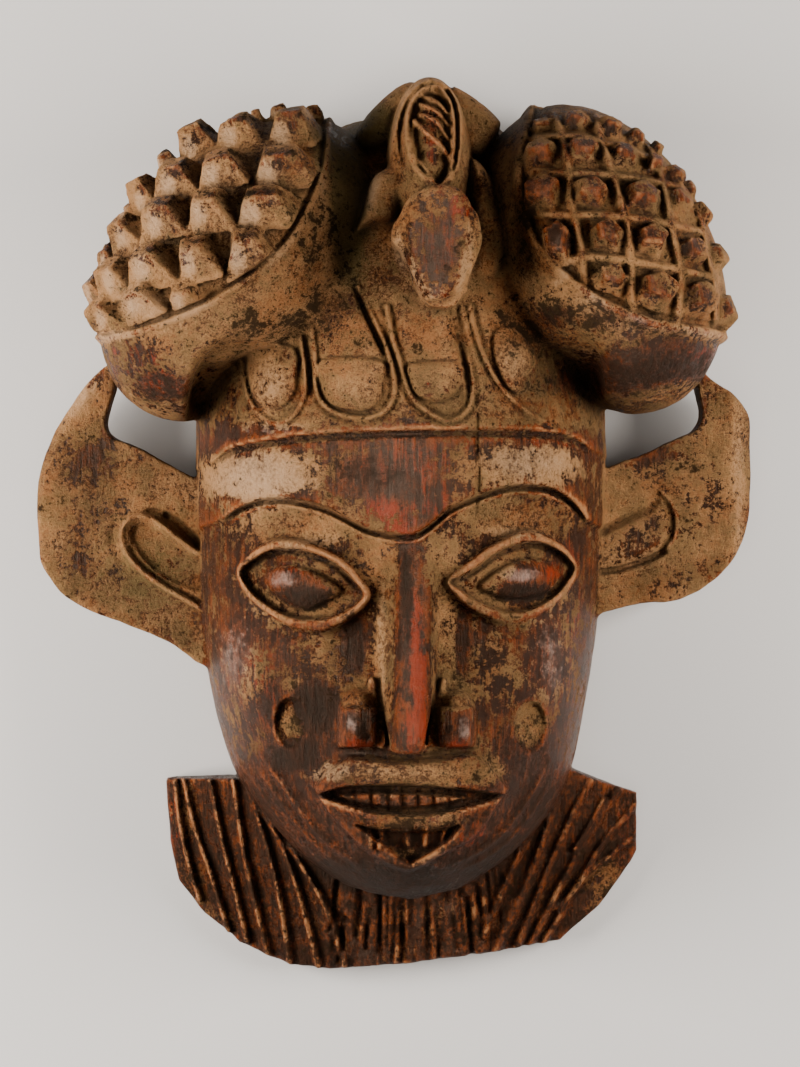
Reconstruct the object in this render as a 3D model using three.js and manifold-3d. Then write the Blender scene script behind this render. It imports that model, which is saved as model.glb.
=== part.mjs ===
// A carved wooden face mask with two studded hair buns, a lizard between them,
// plate ears and a ribbed neck ruff, all cut from one block and hollowed behind.
// Millimetres. The mask lies on its flat back: +X is the viewer's right, +Y runs
// towards the buns, and +Z comes out of the face.

import * as THREE from 'three';
import * as BufferGeometryUtils from 'three/addons/utils/BufferGeometryUtils.js';
import Module from 'manifold-3d';

const wasm = await Module();
wasm.setup();

// Head: height along Y, middle in X, half width and depth of the section there.
const HEAD_STATIONS = [
  [-171, 6, 14, 62],
  [-166, 6, 32, 76],
  [-158, 6, 45, 88],
  [-148, 6, 57, 96],
  [-132, 6, 71, 101],
  [-110, 4, 83, 104],
  [-72, 2.5, 92, 107],
  [-31, 2.5, 97.5, 108],
  [25, 3.5, 100, 112],
  [70, 3.5, 99, 112],
  [110, 5, 88, 108],
  [145, 8, 74, 99],
  [175, 10, 58, 84],
  [194, 12, 44, 62],
  [203, 12, 22, 34],
];
const HEAD_SQUARENESS = 2.3;
const HEAD_FACETS = [18, 16];
const HOLLOW_FACETS = [14, 12];
// A raised layer thickens the front, and hardly widens the sides.
const SIDE_SHARE = 0.15;
const ABOVE_ALL = 220;

// Levels above the face skin, in millimetres along the depth.
const FOREHEAD_LEVEL = 4.5;
const CAP_LEVEL = 5.5;
const CAP_EDGE_LEVEL = 8;
const CAP_GROOVE_LEVEL = 3.4;
const CAP_TAB_LEVEL = 7.4;
const EYE_RIM_LEVEL = 3;
const EYE_FLOOR_LEVEL = -3.5;
const UPPER_LIP_LEVEL = 9;
const LOWER_LIP_LEVEL = 5.5;
const LIP_HOLLOW_LEVEL = 1;
const MOUTH_SLOT_LEVEL = -1;
const TOOTH_LEVEL = 3;
const SCAR_RIM_LEVEL = 1.4;
const SCAR_FLOOR_LEVEL = -1.2;

// The brow line is the forehead's lower edge, and the cap line its upper edge.
const BROW_LINE = [
  [-82, 6], [-65, 16], [-43, 16], [-19, 6], [-2, 1], [11, 1], [22, 9], [41, 20], [62, 24], [77, 20], [91, 8],
];
const CAP_LINE = [[-100, 30], [-84, 38], [-72, 42], [-58, 45], [3, 48], [72, 50], [93, 43], [108, 34]];
const SIDE_REACH = 120;
const CAP_EDGE_WIDTH = 3.4;
const BROW_RIDGE_WIDTH = 2.4;
const BROW_RIDGE_DROP = 3.6;
const CAP_TOP = 112;

// Motifs cut into the cap: the middle of each U, its half width, top and bottom, and its lean.
const U_MOTIFS = [
  { x: -58, y: 81, half: 16, tall: 30, lean: 0.05 },
  { x: -18, y: 80, half: 17, tall: 27, lean: -0.12 },
  { x: 19, y: 80, half: 15, tall: 26, lean: 0.14 },
  { x: 57, y: 82, half: 13, tall: 30, lean: 0.2 },
];
const U_LINE_WIDTH = 2.6;
const U_TAB_INSET = 6.2;

// Eyes: outer rims as two curves between the corners, and the balls inside.
const EYES = [
  {
    inner: [-9, -26],
    outer: [-74, -16],
    upper: [[-24, -10], [-37, -4], [-52, -2], [-65, -6]],
    lower: [[-67, -32], [-53, -41], [-37, -44], [-22, -38]],
    ball: [-43, -23],
  },
  {
    inner: [24, -21],
    outer: [88, -16],
    upper: [[36, -11], [48, -3], [60, 2], [73, -1], [83, -8]],
    lower: [[79, -30], [66, -38], [54, -41], [39, -36], [30, -29]],
    ball: [61, -20],
  },
];
const EYE_RIM_WIDTH = 4.2;
const EYE_BALL_RADII = [20.5, 11.5, 8];
const EYE_BALL_DEPTH = 4.5;
const EYE_BALL_FACETS = [12, 8];
// Each socket is scooped out between the brow and the eye by this much.
const SOCKETS = [[-40, 7], [55, 10]];
const SOCKET_RADII = [48, 27, 24];
const SOCKET_SCOOP = 6.5;
const SOCKET_FACETS = [14, 7];

// Nose: height along Y, ridge height, ridge half width and base half width.
const NOSE_STATIONS = [
  [0, 110, 9, 15],
  [-30, 118, 8, 16],
  [-62, 126, 9, 17],
  [-84, 133, 11, 18],
  [-95, 133, 11, 16],
  [-101, 124, 9, 13],
];
const NOSE_MIDDLE = 7;
const NOSE_BASE = 80;
const NOSTRIL_BEVEL = 2.5;
const NOSTRILS = [
  { x: -15.5, y: -87, width: 15, height: 19, top: 119 },
  { x: 28, y: -87, width: 14, height: 18, top: 119 },
];

// Mouth: the upper lip, and a lower lip whose rim runs down to a point.
const UPPER_LIP = {
  left: [-36, -117],
  top: [[-26, -106], [-20, -99], [-3, -103], [12, -104], [24, -102], [36, -98], [45, -104]],
  right: [52, -119],
  bottom: [[36, -116], [20, -114], [-2, -113], [-18, -112], [-28, -114]],
};
const LOWER_LIP = {
  left: [-35, -118],
  bottom: [[-28, -129], [-16, -141], [-4, -150], [7, -154], [19, -148], [36, -139], [46, -129]],
  right: [52, -120],
  top: [[30, -119], [8, -119], [-18, -119]],
};
const MOUTH_SLOT = {
  left: [-31, -118],
  bottom: [[-15, -123], [3, -128], [24, -126], [38, -121]],
  right: [47, -118],
  top: [[24, -113], [0, -112], [-20, -112]],
};
const LIP_HOLLOW = [[-15, -132], [-4, -135], [8, -136], [25, -133], [16, -142], [7, -148], [-3, -143]];
const TEETH = { from: -26, to: 33, count: 9, top: -116.5, bottom: -122.5, gap: 1 };

const CHEEK_SCARS = [[63, -88], [-48, -88]];
const CHEEK_SCAR_RADII = [8, 12];

// Hair buns: a smooth lower bun, and a studded dome set on it behind a sloping rim.
const BUNS = [
  {
    centre: [-70, 124.5, 66],
    radii: [81, 55, 62],
    backRadius: 120,
    turn: 49,
    axis: [-0.59, 0.71, 0.39],
    rim: [-57, 126, 124],
    rowStart: [-64, 136],
    rowEnd: [-140, 112],
    startStep: [6.3, 18.2],
    endStep: [9, 17.5],
    rows: [-1, 4],
    studRound: 4,
  },
  {
    centre: [96, 129, 66],
    radii: [76, 52, 62],
    backRadius: 120,
    turn: 118,
    axis: [0.6, 0.56, 0.58],
    rim: [69, 125, 118],
    rowStart: [76, 116],
    rowEnd: [157, 102],
    startStep: [-2, 19],
    endStep: [-6, 20],
    rows: [0, 4],
    studRound: 5,
  },
];
const BUN_FACETS = [14, 9];
const DOME_RISE = 4;
const STUDS_IN_ROW = 5;
const STUD_CROWDING = 1.4;
const STUD = { base: 13, top: 8, height: 7, sink: 4 };

// Ears: flat plates beside the face, each with a slanting window under its bun.
const EAR_BACK = 12;
const EAR_FRONT = 31;
const EAR_BEVEL = 3;
const EARS = [
  {
    outline: [
      [-126, 84], [-147, 80], [-161, 58], [-168, 39], [-171.5, 12], [-170, -10], [-160, -27], [-142, -37],
      [-118, -46], [-104, -52], [-90, -63], [-70, -60], [-70, 84],
    ],
    window: [[-134, 68], [-138, 55], [-136, 48], [-118, 39], [-101, 29], [-90, 27], [-90, 70]],
    lobe: [[-92, -34], [-109, -32], [-124, -23], [-131, -8], [-129, 7], [-118, 12], [-105, 4], [-92, -4]],
  },
  {
    outline: [
      [130, 84], [158, 74], [169, 63], [172, 46], [172, 17], [165, -4], [153, -20], [138, -31], [119, -32],
      [101, -37], [75, -40], [75, 84],
    ],
    window: [[96, 70], [96, 30], [119, 38], [137, 46], [147, 52], [144, 66]],
    lobe: [[96, -17], [118, -15], [130, -6], [134, 5], [131, 15], [118, 17], [96, 10]],
  },
];
const EAR_RIDGE_WIDTH = 5;
const EAR_RIDGE_RISE = 3;

// Ruff: a plate that slopes like a shallow cone from under the jaw to its edge.
const RUFF_OUTLINE = [
  [-111, -118], [-109, -148], [-105, -168], [-92, -184], [-75, -198], [-50, -209], [-31, -211], [3, -208],
  [42, -203], [81, -197], [100, -180], [115, -159], [118, -153], [118, -125], [100, -119], [80, -111],
  [40, -100], [-40, -100], [-72, -117],
];
const RUFF_CONE = { x: 4, y: -100, topRadius: 40, baseRadius: 150, height: 43 };
const RUFF_RIDGES = [
  { from: [-105, -119], to: [-84, -190], bow: -6, count: 4, lastFrom: [-72, -119], lastTo: [-52, -206] },
  { from: [-62, -130], to: [-40, -206], bow: -4, count: 3, lastFrom: [-38, -160], lastTo: [-16, -208] },
  { from: [109, -121], to: [72, -196], bow: 6, count: 4, lastFrom: [79, -116], lastTo: [46, -203] },
  { from: [68, -136], to: [44, -200], bow: 4, count: 2, lastFrom: [60, -150], lastTo: [30, -204] },
];
const RUFF_RIDGE_WIDTH = 4;
const RUFF_RIDGE_RISE = 3;

// Lizard: a flat spade head over the brow of the cap, a domed body and four folded legs.
const LIZARD_HEAD = {
  outline: [
    [18, 158], [5, 152], [-2, 136], [2, 122], [12, 106],
    [22, 103], [32, 106], [39, 122], [40, 138], [31, 152],
  ],
  low: 92,
  high: 139,
  bevel: 3.5,
};
const LIZARD_BODY = { centre: [19, 169, 88], radii: [27, 42, 43], facets: [10, 8] };
const LIZARD_PANEL = { centre: [15, 180, 60], radii: [15, 27], rib: 3 };
const LIZARD_LIMBS = [
  { centre: [-7, 155, 94], radii: [11, 24, 21], turn: -12 },
  { centre: [44, 147, 92], radii: [11, 38, 22], turn: 4 },
  { centre: [-2, 191, 64], radii: [18, 11, 32], turn: 40 },
  { centre: [40, 189, 64], radii: [18, 12, 32], turn: -42 },
];
const LIMB_FACETS = [8, 5];

// Back: the inside follows the head, and its wall is this thick.
const WALL = 19;
const HOLLOW_LIMIT = { centre: [3, -2, 0], radii: [100, 152, 118] };

const WOOD = new THREE.MeshStandardMaterial({ color: 0x4b2b1a, roughness: 0.45, metalness: 0 });

function toSolid(geometry) {
  const bare = geometry.index ? geometry.toNonIndexed() : geometry.clone();
  bare.deleteAttribute('normal');
  bare.deleteAttribute('uv');
  const merged = BufferGeometryUtils.mergeVertices(bare, 1e-4);
  const mesh = new wasm.Mesh({
    numProp: 3,
    vertProperties: new Float32Array(merged.attributes.position.array),
    triVerts: new Uint32Array(merged.index.array),
  });
  return new wasm.Manifold(mesh);
}

function toGeometry(manifold) {
  const mesh = manifold.getMesh();
  const geometry = new THREE.BufferGeometry();
  geometry.setAttribute('position', new THREE.BufferAttribute(new Float32Array(mesh.vertProperties), 3));
  geometry.setIndex(new THREE.BufferAttribute(new Uint32Array(mesh.triVerts), 1));
  geometry.computeVertexNormals();
  return geometry;
}

function joined(solids) {
  return solids.reduce((whole, next) => whole.add(next));
}

function outlineShape(points) {
  return new THREE.Shape(points.map(([x, y]) => new THREE.Vector2(x, y)));
}

// A closed outline with two sharp corners and a smooth curve along each side.
function leafShape(left, upper, right, lower) {
  const shape = new THREE.Shape();
  shape.moveTo(...left);
  shape.splineThru([...upper, right].map(([x, y]) => new THREE.Vector2(x, y)));
  shape.splineThru([...lower, left].map(([x, y]) => new THREE.Vector2(x, y)));
  return shape;
}

function ovalShape([x, y], [rx, ry], sides = 12) {
  return outlineShape(
    Array.from({ length: sides }, (_, i) => {
      const turn = (2 * Math.PI * i) / sides;
      return [x + rx * Math.cos(turn), y + ry * Math.sin(turn)];
    }),
  );
}

// A strip of even width along a smooth path.
function ribbonShape(points, width, steps = points.length * 2) {
  const path = new THREE.SplineCurve(points.map(([x, y]) => new THREE.Vector2(x, y)));
  const sides = [1, -1].map((side) =>
    Array.from({ length: steps + 1 }, (_, i) => {
      const tangent = path.getTangent(i / steps);
      const offset = new THREE.Vector2(-tangent.y, tangent.x).multiplyScalar((side * width) / 2);
      return path.getPoint(i / steps).add(offset);
    }),
  );
  return new THREE.Shape([...sides[0], ...sides[1].reverse()]);
}

// The outline drawn in by a margin towards its own middle.
function insetLeaf({ inner, outer, upper, lower }, margin) {
  const corners = [inner, outer];
  const middle = [(inner[0] + outer[0]) / 2, (inner[1] + outer[1]) / 2];
  const pull = ([x, y], amount) => {
    const away = Math.hypot(x - middle[0], y - middle[1]);
    return [x + ((middle[0] - x) * amount) / away, y + ((middle[1] - y) * amount) / away];
  };
  const [a, b] = corners.map((corner) => pull(corner, margin * 1.8));
  return leafShape(a, upper.map((p) => pull(p, margin)), b, lower.map((p) => pull(p, margin)));
}

function slab(shape, low, high) {
  const options = { depth: high - low, bevelEnabled: false, curveSegments: 1 };
  return toSolid(new THREE.ExtrudeGeometry(shape, options).translate(0, 0, low));
}

function bevelledSlab(shape, low, high, bevel) {
  const geometry = new THREE.ExtrudeGeometry(shape, {
    depth: high - low - 2 * bevel,
    bevelThickness: bevel,
    bevelSize: bevel,
    bevelOffset: -bevel,
    bevelSegments: 1,
  });
  return toSolid(geometry.translate(0, 0, low + bevel));
}

// An ellipsoid turned about Z, whose back half may be deeper than its front.
function ellipsoid([x, y, z], [rx, ry, rz], turn = 0, facets = [22, 14], backRadius = rz) {
  const geometry = new THREE.SphereGeometry(1, ...facets).scale(rx, ry, rz);
  const position = geometry.attributes.position;
  for (let i = 0; i < position.count; i++) {
    if (position.getZ(i) < 0) position.setZ(i, (position.getZ(i) * backRadius) / rz);
  }
  return toSolid(geometry.rotateZ(THREE.MathUtils.degToRad(turn)).translate(x, y, z));
}

const stationCurves = [1, 2, 3].map(
  (column) => new THREE.SplineCurve(HEAD_STATIONS.map((row) => new THREE.Vector2(row[0], row[column]))),
);

// The head's section at a fraction of the way up: its place, middle, half width and depth.
function headSection(fraction) {
  const [middle, half, depth] = stationCurves.map((curve) => curve.getPoint(fraction));
  return { y: middle.x, middle: middle.y, half: half.y, depth: depth.y };
}

// The head's skin, grown or shrunk by a level, as a loft of rounded sections with a flat back.
function headShell(level, [around, along] = HEAD_FACETS, sideShare = SIDE_SHARE) {
  const geometry = new THREE.CylinderGeometry(1, 1, 1, around, along);
  const position = geometry.attributes.position;
  for (let i = 0; i < position.count; i++) {
    const section = headSection(position.getY(i) + 0.5);
    const radius = Math.hypot(position.getX(i), position.getZ(i));
    const turn = Math.atan2(position.getX(i), position.getZ(i));
    const step = (Math.round((turn / (2 * Math.PI)) * around) + around) % around;
    const sweep = Math.PI * (1 - step / (around - 1));
    const power = 2 / HEAD_SQUARENESS;
    const across = Math.sign(Math.cos(sweep)) * Math.abs(Math.cos(sweep)) ** power;
    const out = Math.sin(sweep) ** power;
    if (radius < 0.5) {
      position.setXYZ(i, section.middle, section.y, section.depth * 0.3);
    } else {
      const x = section.middle + across * (section.half + level * sideShare);
      position.setXYZ(i, x, section.y, out * (section.depth + level));
    }
  }
  return toSolid(geometry);
}

// Material under an outline, up to a level above the head's skin.
function raisedTo(level, shape) {
  return slab(shape, 0, ABOVE_ALL).intersect(headShell(level));
}

// Everything over an outline that stands above a level.
function above(level, shape) {
  return slab(shape, 1, ABOVE_ALL).subtract(headShell(level));
}

// The head's skin height over a point, from the nearest section.
function skinHeight(x, y) {
  let best = headSection(0);
  for (let i = 0; i <= 200; i++) {
    const section = headSection(i / 200);
    if (Math.abs(section.y - y) < Math.abs(best.y - y)) best = section;
  }
  const side = Math.min(1, Math.abs((x - best.middle) / best.half)) ** HEAD_SQUARENESS;
  return best.depth * (1 - side) ** (1 / HEAD_SQUARENESS);
}

function foreheadAndCap() {
  const forehead = outlineShape([
    [-SIDE_REACH, 2],
    ...BROW_LINE,
    [SIDE_REACH, 4],
    [SIDE_REACH, 34],
    ...CAP_LINE.slice().reverse(),
    [-SIDE_REACH, 30],
  ]);
  const cap = outlineShape([
    [-SIDE_REACH, 30],
    ...CAP_LINE,
    [SIDE_REACH, 34],
    [SIDE_REACH, CAP_TOP],
    [-SIDE_REACH, CAP_TOP],
  ]);
  const browRidge = ribbonShape(BROW_LINE.map(([x, y]) => [x, y - BROW_RIDGE_DROP]), BROW_RIDGE_WIDTH);
  return joined([
    raisedTo(FOREHEAD_LEVEL, forehead),
    raisedTo(CAP_LEVEL, cap),
    raisedTo(CAP_EDGE_LEVEL, ribbonShape(CAP_LINE, CAP_EDGE_WIDTH)),
    raisedTo(0.5, browRidge),
  ]);
}

// One U: two legs and a round foot, leaning a little, as a path from leg to leg.
function motifPath({ x, y, half, tall, lean }, inset) {
  const r = half - inset;
  const foot = y - tall / 2 - half * 0.25;
  const arc = Array.from({ length: 7 }, (_, i) => {
    const turn = Math.PI * (1 + i / 6);
    return [x + r * Math.cos(turn), foot + r * 0.9 * Math.sin(turn) + half * 0.4];
  });
  const top = y + tall / 2;
  return [[x - r, top], ...arc, [x + r, top]].map(([px, py]) => [px - lean * (py - y), py]);
}

function capMotifs(head) {
  let carved = head;
  for (const motif of U_MOTIFS) {
    carved = carved.subtract(above(CAP_GROOVE_LEVEL, ribbonShape(motifPath(motif, 0), U_LINE_WIDTH, 8)));
  }
  for (const motif of U_MOTIFS) {
    carved = carved.add(raisedTo(CAP_TAB_LEVEL, outlineShape(motifPath(motif, U_TAB_INSET))));
  }
  return carved;
}

function eyes(head) {
  let carved = head;
  for (const eye of EYES) {
    const rim = leafShape(eye.inner, eye.upper, eye.outer, eye.lower);
    const [x, y] = eye.ball;
    const skin = skinHeight(x, y);
    const slope = (skinHeight(x + EYE_BALL_RADII[0], y) - skinHeight(x - EYE_BALL_RADII[0], y)) / 2;
    const lean = Math.atan2(slope, EYE_BALL_RADII[0]);
    const tilt = [0, -THREE.MathUtils.radToDeg(lean), 0];
    const ball = ellipsoid([0, 0, 0], EYE_BALL_RADII, 0, EYE_BALL_FACETS).rotate(tilt);
    carved = carved
      .add(raisedTo(EYE_RIM_LEVEL, rim))
      .subtract(above(EYE_FLOOR_LEVEL, insetLeaf(eye, EYE_RIM_WIDTH)))
      .add(ball.translate([x, y, skin - EYE_BALL_DEPTH]));
  }
  return carved;
}

function eyeSockets() {
  const lift = SOCKET_RADII[2] - SOCKET_SCOOP;
  const scoop = ([x, y]) => ellipsoid([x, y, skinHeight(x, y) + lift], SOCKET_RADII, 0, SOCKET_FACETS);
  return joined(SOCKETS.map(scoop));
}

// A wedge with a flat ridge, lofted down the face through the nose stations.
function nose() {
  const last = NOSE_STATIONS.length - 1;
  const geometry = new THREE.BoxGeometry(2, last, 1, 1, last, 1);
  const position = geometry.attributes.position;
  for (let i = 0; i < position.count; i++) {
    const [y, ridge, top, base] = NOSE_STATIONS[Math.round(last / 2 - position.getY(i))];
    const front = position.getZ(i) > 0;
    const half = front ? top : base;
    position.setXYZ(i, NOSE_MIDDLE + position.getX(i) * half, y, front ? ridge : NOSE_BASE);
  }
  const wings = NOSTRILS.map(({ x, y, width, height, top }) => {
    const [w, h] = [width / 2, height / 2];
    const corners = [[-1, -1], [1, -1], [1, 0.6], [0.5, 1], [-0.5, 1], [-1, 0.6]];
    const block = outlineShape(corners.map(([across, up]) => [x + across * w, y + up * h]));
    return bevelledSlab(block, NOSE_BASE, top, NOSTRIL_BEVEL);
  });
  return joined([toSolid(geometry), ...wings]);
}

function mouth(head) {
  const lower = leafShape(LOWER_LIP.left, LOWER_LIP.bottom, LOWER_LIP.right, LOWER_LIP.top);
  const upper = leafShape(UPPER_LIP.left, UPPER_LIP.top, UPPER_LIP.right, UPPER_LIP.bottom);
  const slot = leafShape(MOUTH_SLOT.left, MOUTH_SLOT.bottom, MOUTH_SLOT.right, MOUTH_SLOT.top);
  const pitch = (TEETH.to - TEETH.from) / TEETH.count;
  const teeth = Array.from({ length: TEETH.count }, (_, i) => {
    const [left, right] = [TEETH.from + i * pitch + TEETH.gap, TEETH.from + (i + 1) * pitch];
    return raisedTo(
      TOOTH_LEVEL,
      outlineShape([[left, TEETH.bottom], [right, TEETH.bottom], [right, TEETH.top], [left, TEETH.top]]),
    );
  });
  return head
    .add(raisedTo(LOWER_LIP_LEVEL, lower))
    .subtract(above(LIP_HOLLOW_LEVEL, outlineShape(LIP_HOLLOW)))
    .subtract(above(MOUTH_SLOT_LEVEL, slot))
    .add(joined(teeth))
    .add(raisedTo(UPPER_LIP_LEVEL, upper));
}

function cheekScars(head) {
  const [rx, ry] = CHEEK_SCAR_RADII;
  return CHEEK_SCARS.reduce(
    (carved, place) =>
      carved
        .add(raisedTo(SCAR_RIM_LEVEL, ovalShape(place, [rx + 2, ry + 2])))
        .subtract(above(SCAR_FLOOR_LEVEL, ovalShape(place, [rx, ry]))),
    head,
  );
}

// The bun's skin at a plan position, with its outward direction.
function bunSurface(bun, x, y, grow) {
  const turn = THREE.MathUtils.degToRad(bun.turn);
  const [dx, dy] = [x - bun.centre[0], y - bun.centre[1]];
  const along = dx * Math.cos(turn) + dy * Math.sin(turn);
  const across = dy * Math.cos(turn) - dx * Math.sin(turn);
  const [a, b, c] = bun.radii.map((radius) => radius + grow);
  const reach = Math.hypot(along / a, across / b);
  const hold = Math.min(1, 0.985 / reach);
  const rise = Math.sqrt(1 - Math.min(1, reach * hold) ** 2);
  const [u, v] = [along * hold, across * hold];
  const normal = new THREE.Vector3(
    (u / a ** 2) * Math.cos(turn) - (v / b ** 2) * Math.sin(turn),
    (u / a ** 2) * Math.sin(turn) + (v / b ** 2) * Math.cos(turn),
    rise / c,
  ).normalize();
  const point = new THREE.Vector3(
    bun.centre[0] + u * Math.cos(turn) - v * Math.sin(turn),
    bun.centre[1] + u * Math.sin(turn) + v * Math.cos(turn),
    bun.centre[2] + c * rise,
  );
  return { point, normal };
}

// Everything on the outer side of the plane through the bun's rim.
function outsideRim(bun) {
  const axis = new THREE.Vector3(...bun.axis).normalize();
  const turn = new THREE.Quaternion().setFromUnitVectors(new THREE.Vector3(0, 0, 1), axis);
  const place = new THREE.Vector3(...bun.rim).addScaledVector(axis, 100);
  const block = new THREE.BoxGeometry(400, 400, 200).applyQuaternion(turn);
  return toSolid(block.translate(place.x, place.y, place.z));
}

// A blunt pyramid standing on the dome, its sides square to the rows.
function stud(bun, x, y, rowAngle) {
  const { point, normal } = bunSurface(bun, x, y, DOME_RISE);
  const corner = bun.studRound === 4 ? Math.PI / 4 : 0;
  const body = new THREE.CylinderGeometry(STUD.top, STUD.base, STUD.height + STUD.sink, bun.studRound);
  body.rotateY(corner).rotateX(Math.PI / 2).rotateZ(rowAngle);
  body.translate(0, 0, (STUD.height - STUD.sink) / 2);
  const stand = new THREE.Quaternion().setFromUnitVectors(new THREE.Vector3(0, 0, 1), normal);
  return toSolid(body.applyQuaternion(stand).translate(point.x, point.y, point.z));
}

function bun(settings) {
  const { centre, radii, turn, axis, rim, backRadius } = settings;
  const domeRadii = radii.map((radius) => radius + DOME_RISE);
  const dome = ellipsoid(centre, domeRadii, turn, BUN_FACETS, backRadius).intersect(outsideRim(settings));
  const parts = [ellipsoid(centre, radii, turn, BUN_FACETS, backRadius), dome];
  const edge = new THREE.Vector3(...axis).normalize();
  const rimPoint = new THREE.Vector3(...rim);
  for (let row = settings.rows[0]; row <= settings.rows[1]; row++) {
    const start = settings.rowStart.map((value, i) => value + row * settings.startStep[i]);
    const end = settings.rowEnd.map((value, i) => value + row * settings.endStep[i]);
    const rowAngle = Math.atan2(end[1] - start[1], end[0] - start[0]);
    for (let i = 0; i < STUDS_IN_ROW; i++) {
      const along = 1 - (1 - i / (STUDS_IN_ROW - 1)) ** STUD_CROWDING;
      const x = start[0] + (end[0] - start[0]) * along;
      const y = start[1] + (end[1] - start[1]) * along;
      const { point } = bunSurface(settings, x, y, DOME_RISE);
      if (point.sub(rimPoint).dot(edge) > STUD.base * 0.6) {
        parts.push(stud(settings, x, y, rowAngle));
      }
    }
  }
  return joined(parts);
}

function ear({ outline, window, lobe }) {
  const ridge = ribbonShape(lobe, EAR_RIDGE_WIDTH, 14);
  return bevelledSlab(outlineShape(outline), EAR_BACK, EAR_FRONT, EAR_BEVEL)
    .subtract(slab(outlineShape(window), 0, ABOVE_ALL))
    .add(slab(ridge, EAR_BACK + EAR_BEVEL, EAR_FRONT + EAR_RIDGE_RISE));
}

function ruffCone(rise) {
  const { x, y, topRadius, baseRadius, height } = RUFF_CONE;
  const cone = new THREE.CylinderGeometry(topRadius, baseRadius, height, 22).rotateX(Math.PI / 2);
  return toSolid(cone.translate(x, y, height / 2 + rise));
}

// Ridges fan out from under the jaw, each bowed a little outwards.
function ruffRidges() {
  const cone = ruffCone(RUFF_RIDGE_RISE);
  const ridges = [];
  for (const { from, to, lastFrom, lastTo, bow, count } of RUFF_RIDGES) {
    for (let i = 0; i < count; i++) {
      const t = count > 1 ? i / (count - 1) : 0;
      const start = from.map((value, k) => value + (lastFrom[k] - value) * t);
      const end = to.map((value, k) => value + (lastTo[k] - value) * t);
      const middle = [(start[0] + end[0]) / 2 + bow, (start[1] + end[1]) / 2];
      ridges.push(slab(ribbonShape([start, middle, end], RUFF_RIDGE_WIDTH, 3), 1, ABOVE_ALL).intersect(cone));
    }
  }
  return joined(ridges);
}

function ruff() {
  const plate = slab(outlineShape(RUFF_OUTLINE), 0, ABOVE_ALL);
  return plate.intersect(ruffCone(0)).add(ruffRidges().intersect(plate));
}

function lizard() {
  const { outline, low, high, bevel } = LIZARD_HEAD;
  const { centre, radii, rib } = LIZARD_PANEL;
  const inner = radii.map((radius) => radius - rib);
  const panelHole = slab(ovalShape(centre, inner), 0, ABOVE_ALL);
  const panel = slab(ovalShape(centre, radii), centre[2], ABOVE_ALL).subtract(panelHole);
  const back = LIZARD_BODY.radii.map((radius) => radius + 2);
  return joined([
    bevelledSlab(outlineShape(outline), low, high, bevel),
    ellipsoid(LIZARD_BODY.centre, LIZARD_BODY.radii, 0, LIZARD_BODY.facets),
    panel.intersect(ellipsoid(LIZARD_BODY.centre, back, 0, LIZARD_BODY.facets)),
    ...LIZARD_LIMBS.map((limb) => ellipsoid(limb.centre, limb.radii, limb.turn, LIMB_FACETS)),
  ]);
}

function hollow() {
  const { centre, radii } = HOLLOW_LIMIT;
  return headShell(-WALL, HOLLOW_FACETS, 1).intersect(ellipsoid(centre, radii, 0, [20, 12]));
}

function mask() {
  let body = headShell(0).subtract(eyeSockets()).add(foreheadAndCap());
  body = capMotifs(body);
  body = eyes(body);
  body = cheekScars(body);
  body = mouth(body).add(nose());
  body = joined([body, ...BUNS.map(bun), ...EARS.map(ear), ruff(), lizard()]);
  const room = toSolid(new THREE.BoxGeometry(600, 600, ABOVE_ALL).translate(0, 0, ABOVE_ALL / 2));
  const below = toSolid(new THREE.BoxGeometry(600, 600, ABOVE_ALL).translate(0, 0, -ABOVE_ALL / 2 + 0.01));
  return body.intersect(room).subtract(hollow().add(below));
}

const maskMesh = new THREE.Mesh(toGeometry(mask()), WOOD);
maskMesh.name = 'mask';

const group = new THREE.Group();
group.add(maskMesh);

export default group;
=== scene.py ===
import math

import bpy
import numpy as np
import openvdb
from mathutils import Matrix, Vector


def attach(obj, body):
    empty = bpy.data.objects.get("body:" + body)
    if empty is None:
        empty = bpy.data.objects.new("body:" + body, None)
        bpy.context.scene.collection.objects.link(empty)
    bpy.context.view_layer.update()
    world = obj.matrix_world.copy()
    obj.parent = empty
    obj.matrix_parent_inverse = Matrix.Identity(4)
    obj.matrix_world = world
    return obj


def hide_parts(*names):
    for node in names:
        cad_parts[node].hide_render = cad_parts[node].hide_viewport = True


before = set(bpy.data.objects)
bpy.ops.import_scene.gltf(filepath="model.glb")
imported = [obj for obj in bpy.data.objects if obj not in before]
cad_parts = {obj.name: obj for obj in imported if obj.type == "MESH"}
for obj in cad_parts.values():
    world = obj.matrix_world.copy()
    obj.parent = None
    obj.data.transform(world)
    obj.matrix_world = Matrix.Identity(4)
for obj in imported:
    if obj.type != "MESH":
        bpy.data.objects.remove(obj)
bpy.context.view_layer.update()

# The block. The whole mask is carved from one block of dense hardwood about 42 cm tall. It is worked here
# as a field over that block: each value says how far a point lies from the wood's surface, in millimetres,
# and is negative inside the wood.
MILLIMETRE = 0.001
GRID_STEP = 1.0
BLOCK_LOW = (-176.0, -215.0, -5.0)
BLOCK_HIGH = (177.0, 216.0, 144.0)
block_axes = [
    np.arange(low, high, GRID_STEP, dtype=np.float32) for low, high in zip(BLOCK_LOW, BLOCK_HIGH)
]
across, along, outward = block_axes
plan_x, plan_y = np.meshgrid(across, along, indexing="ij")

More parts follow.
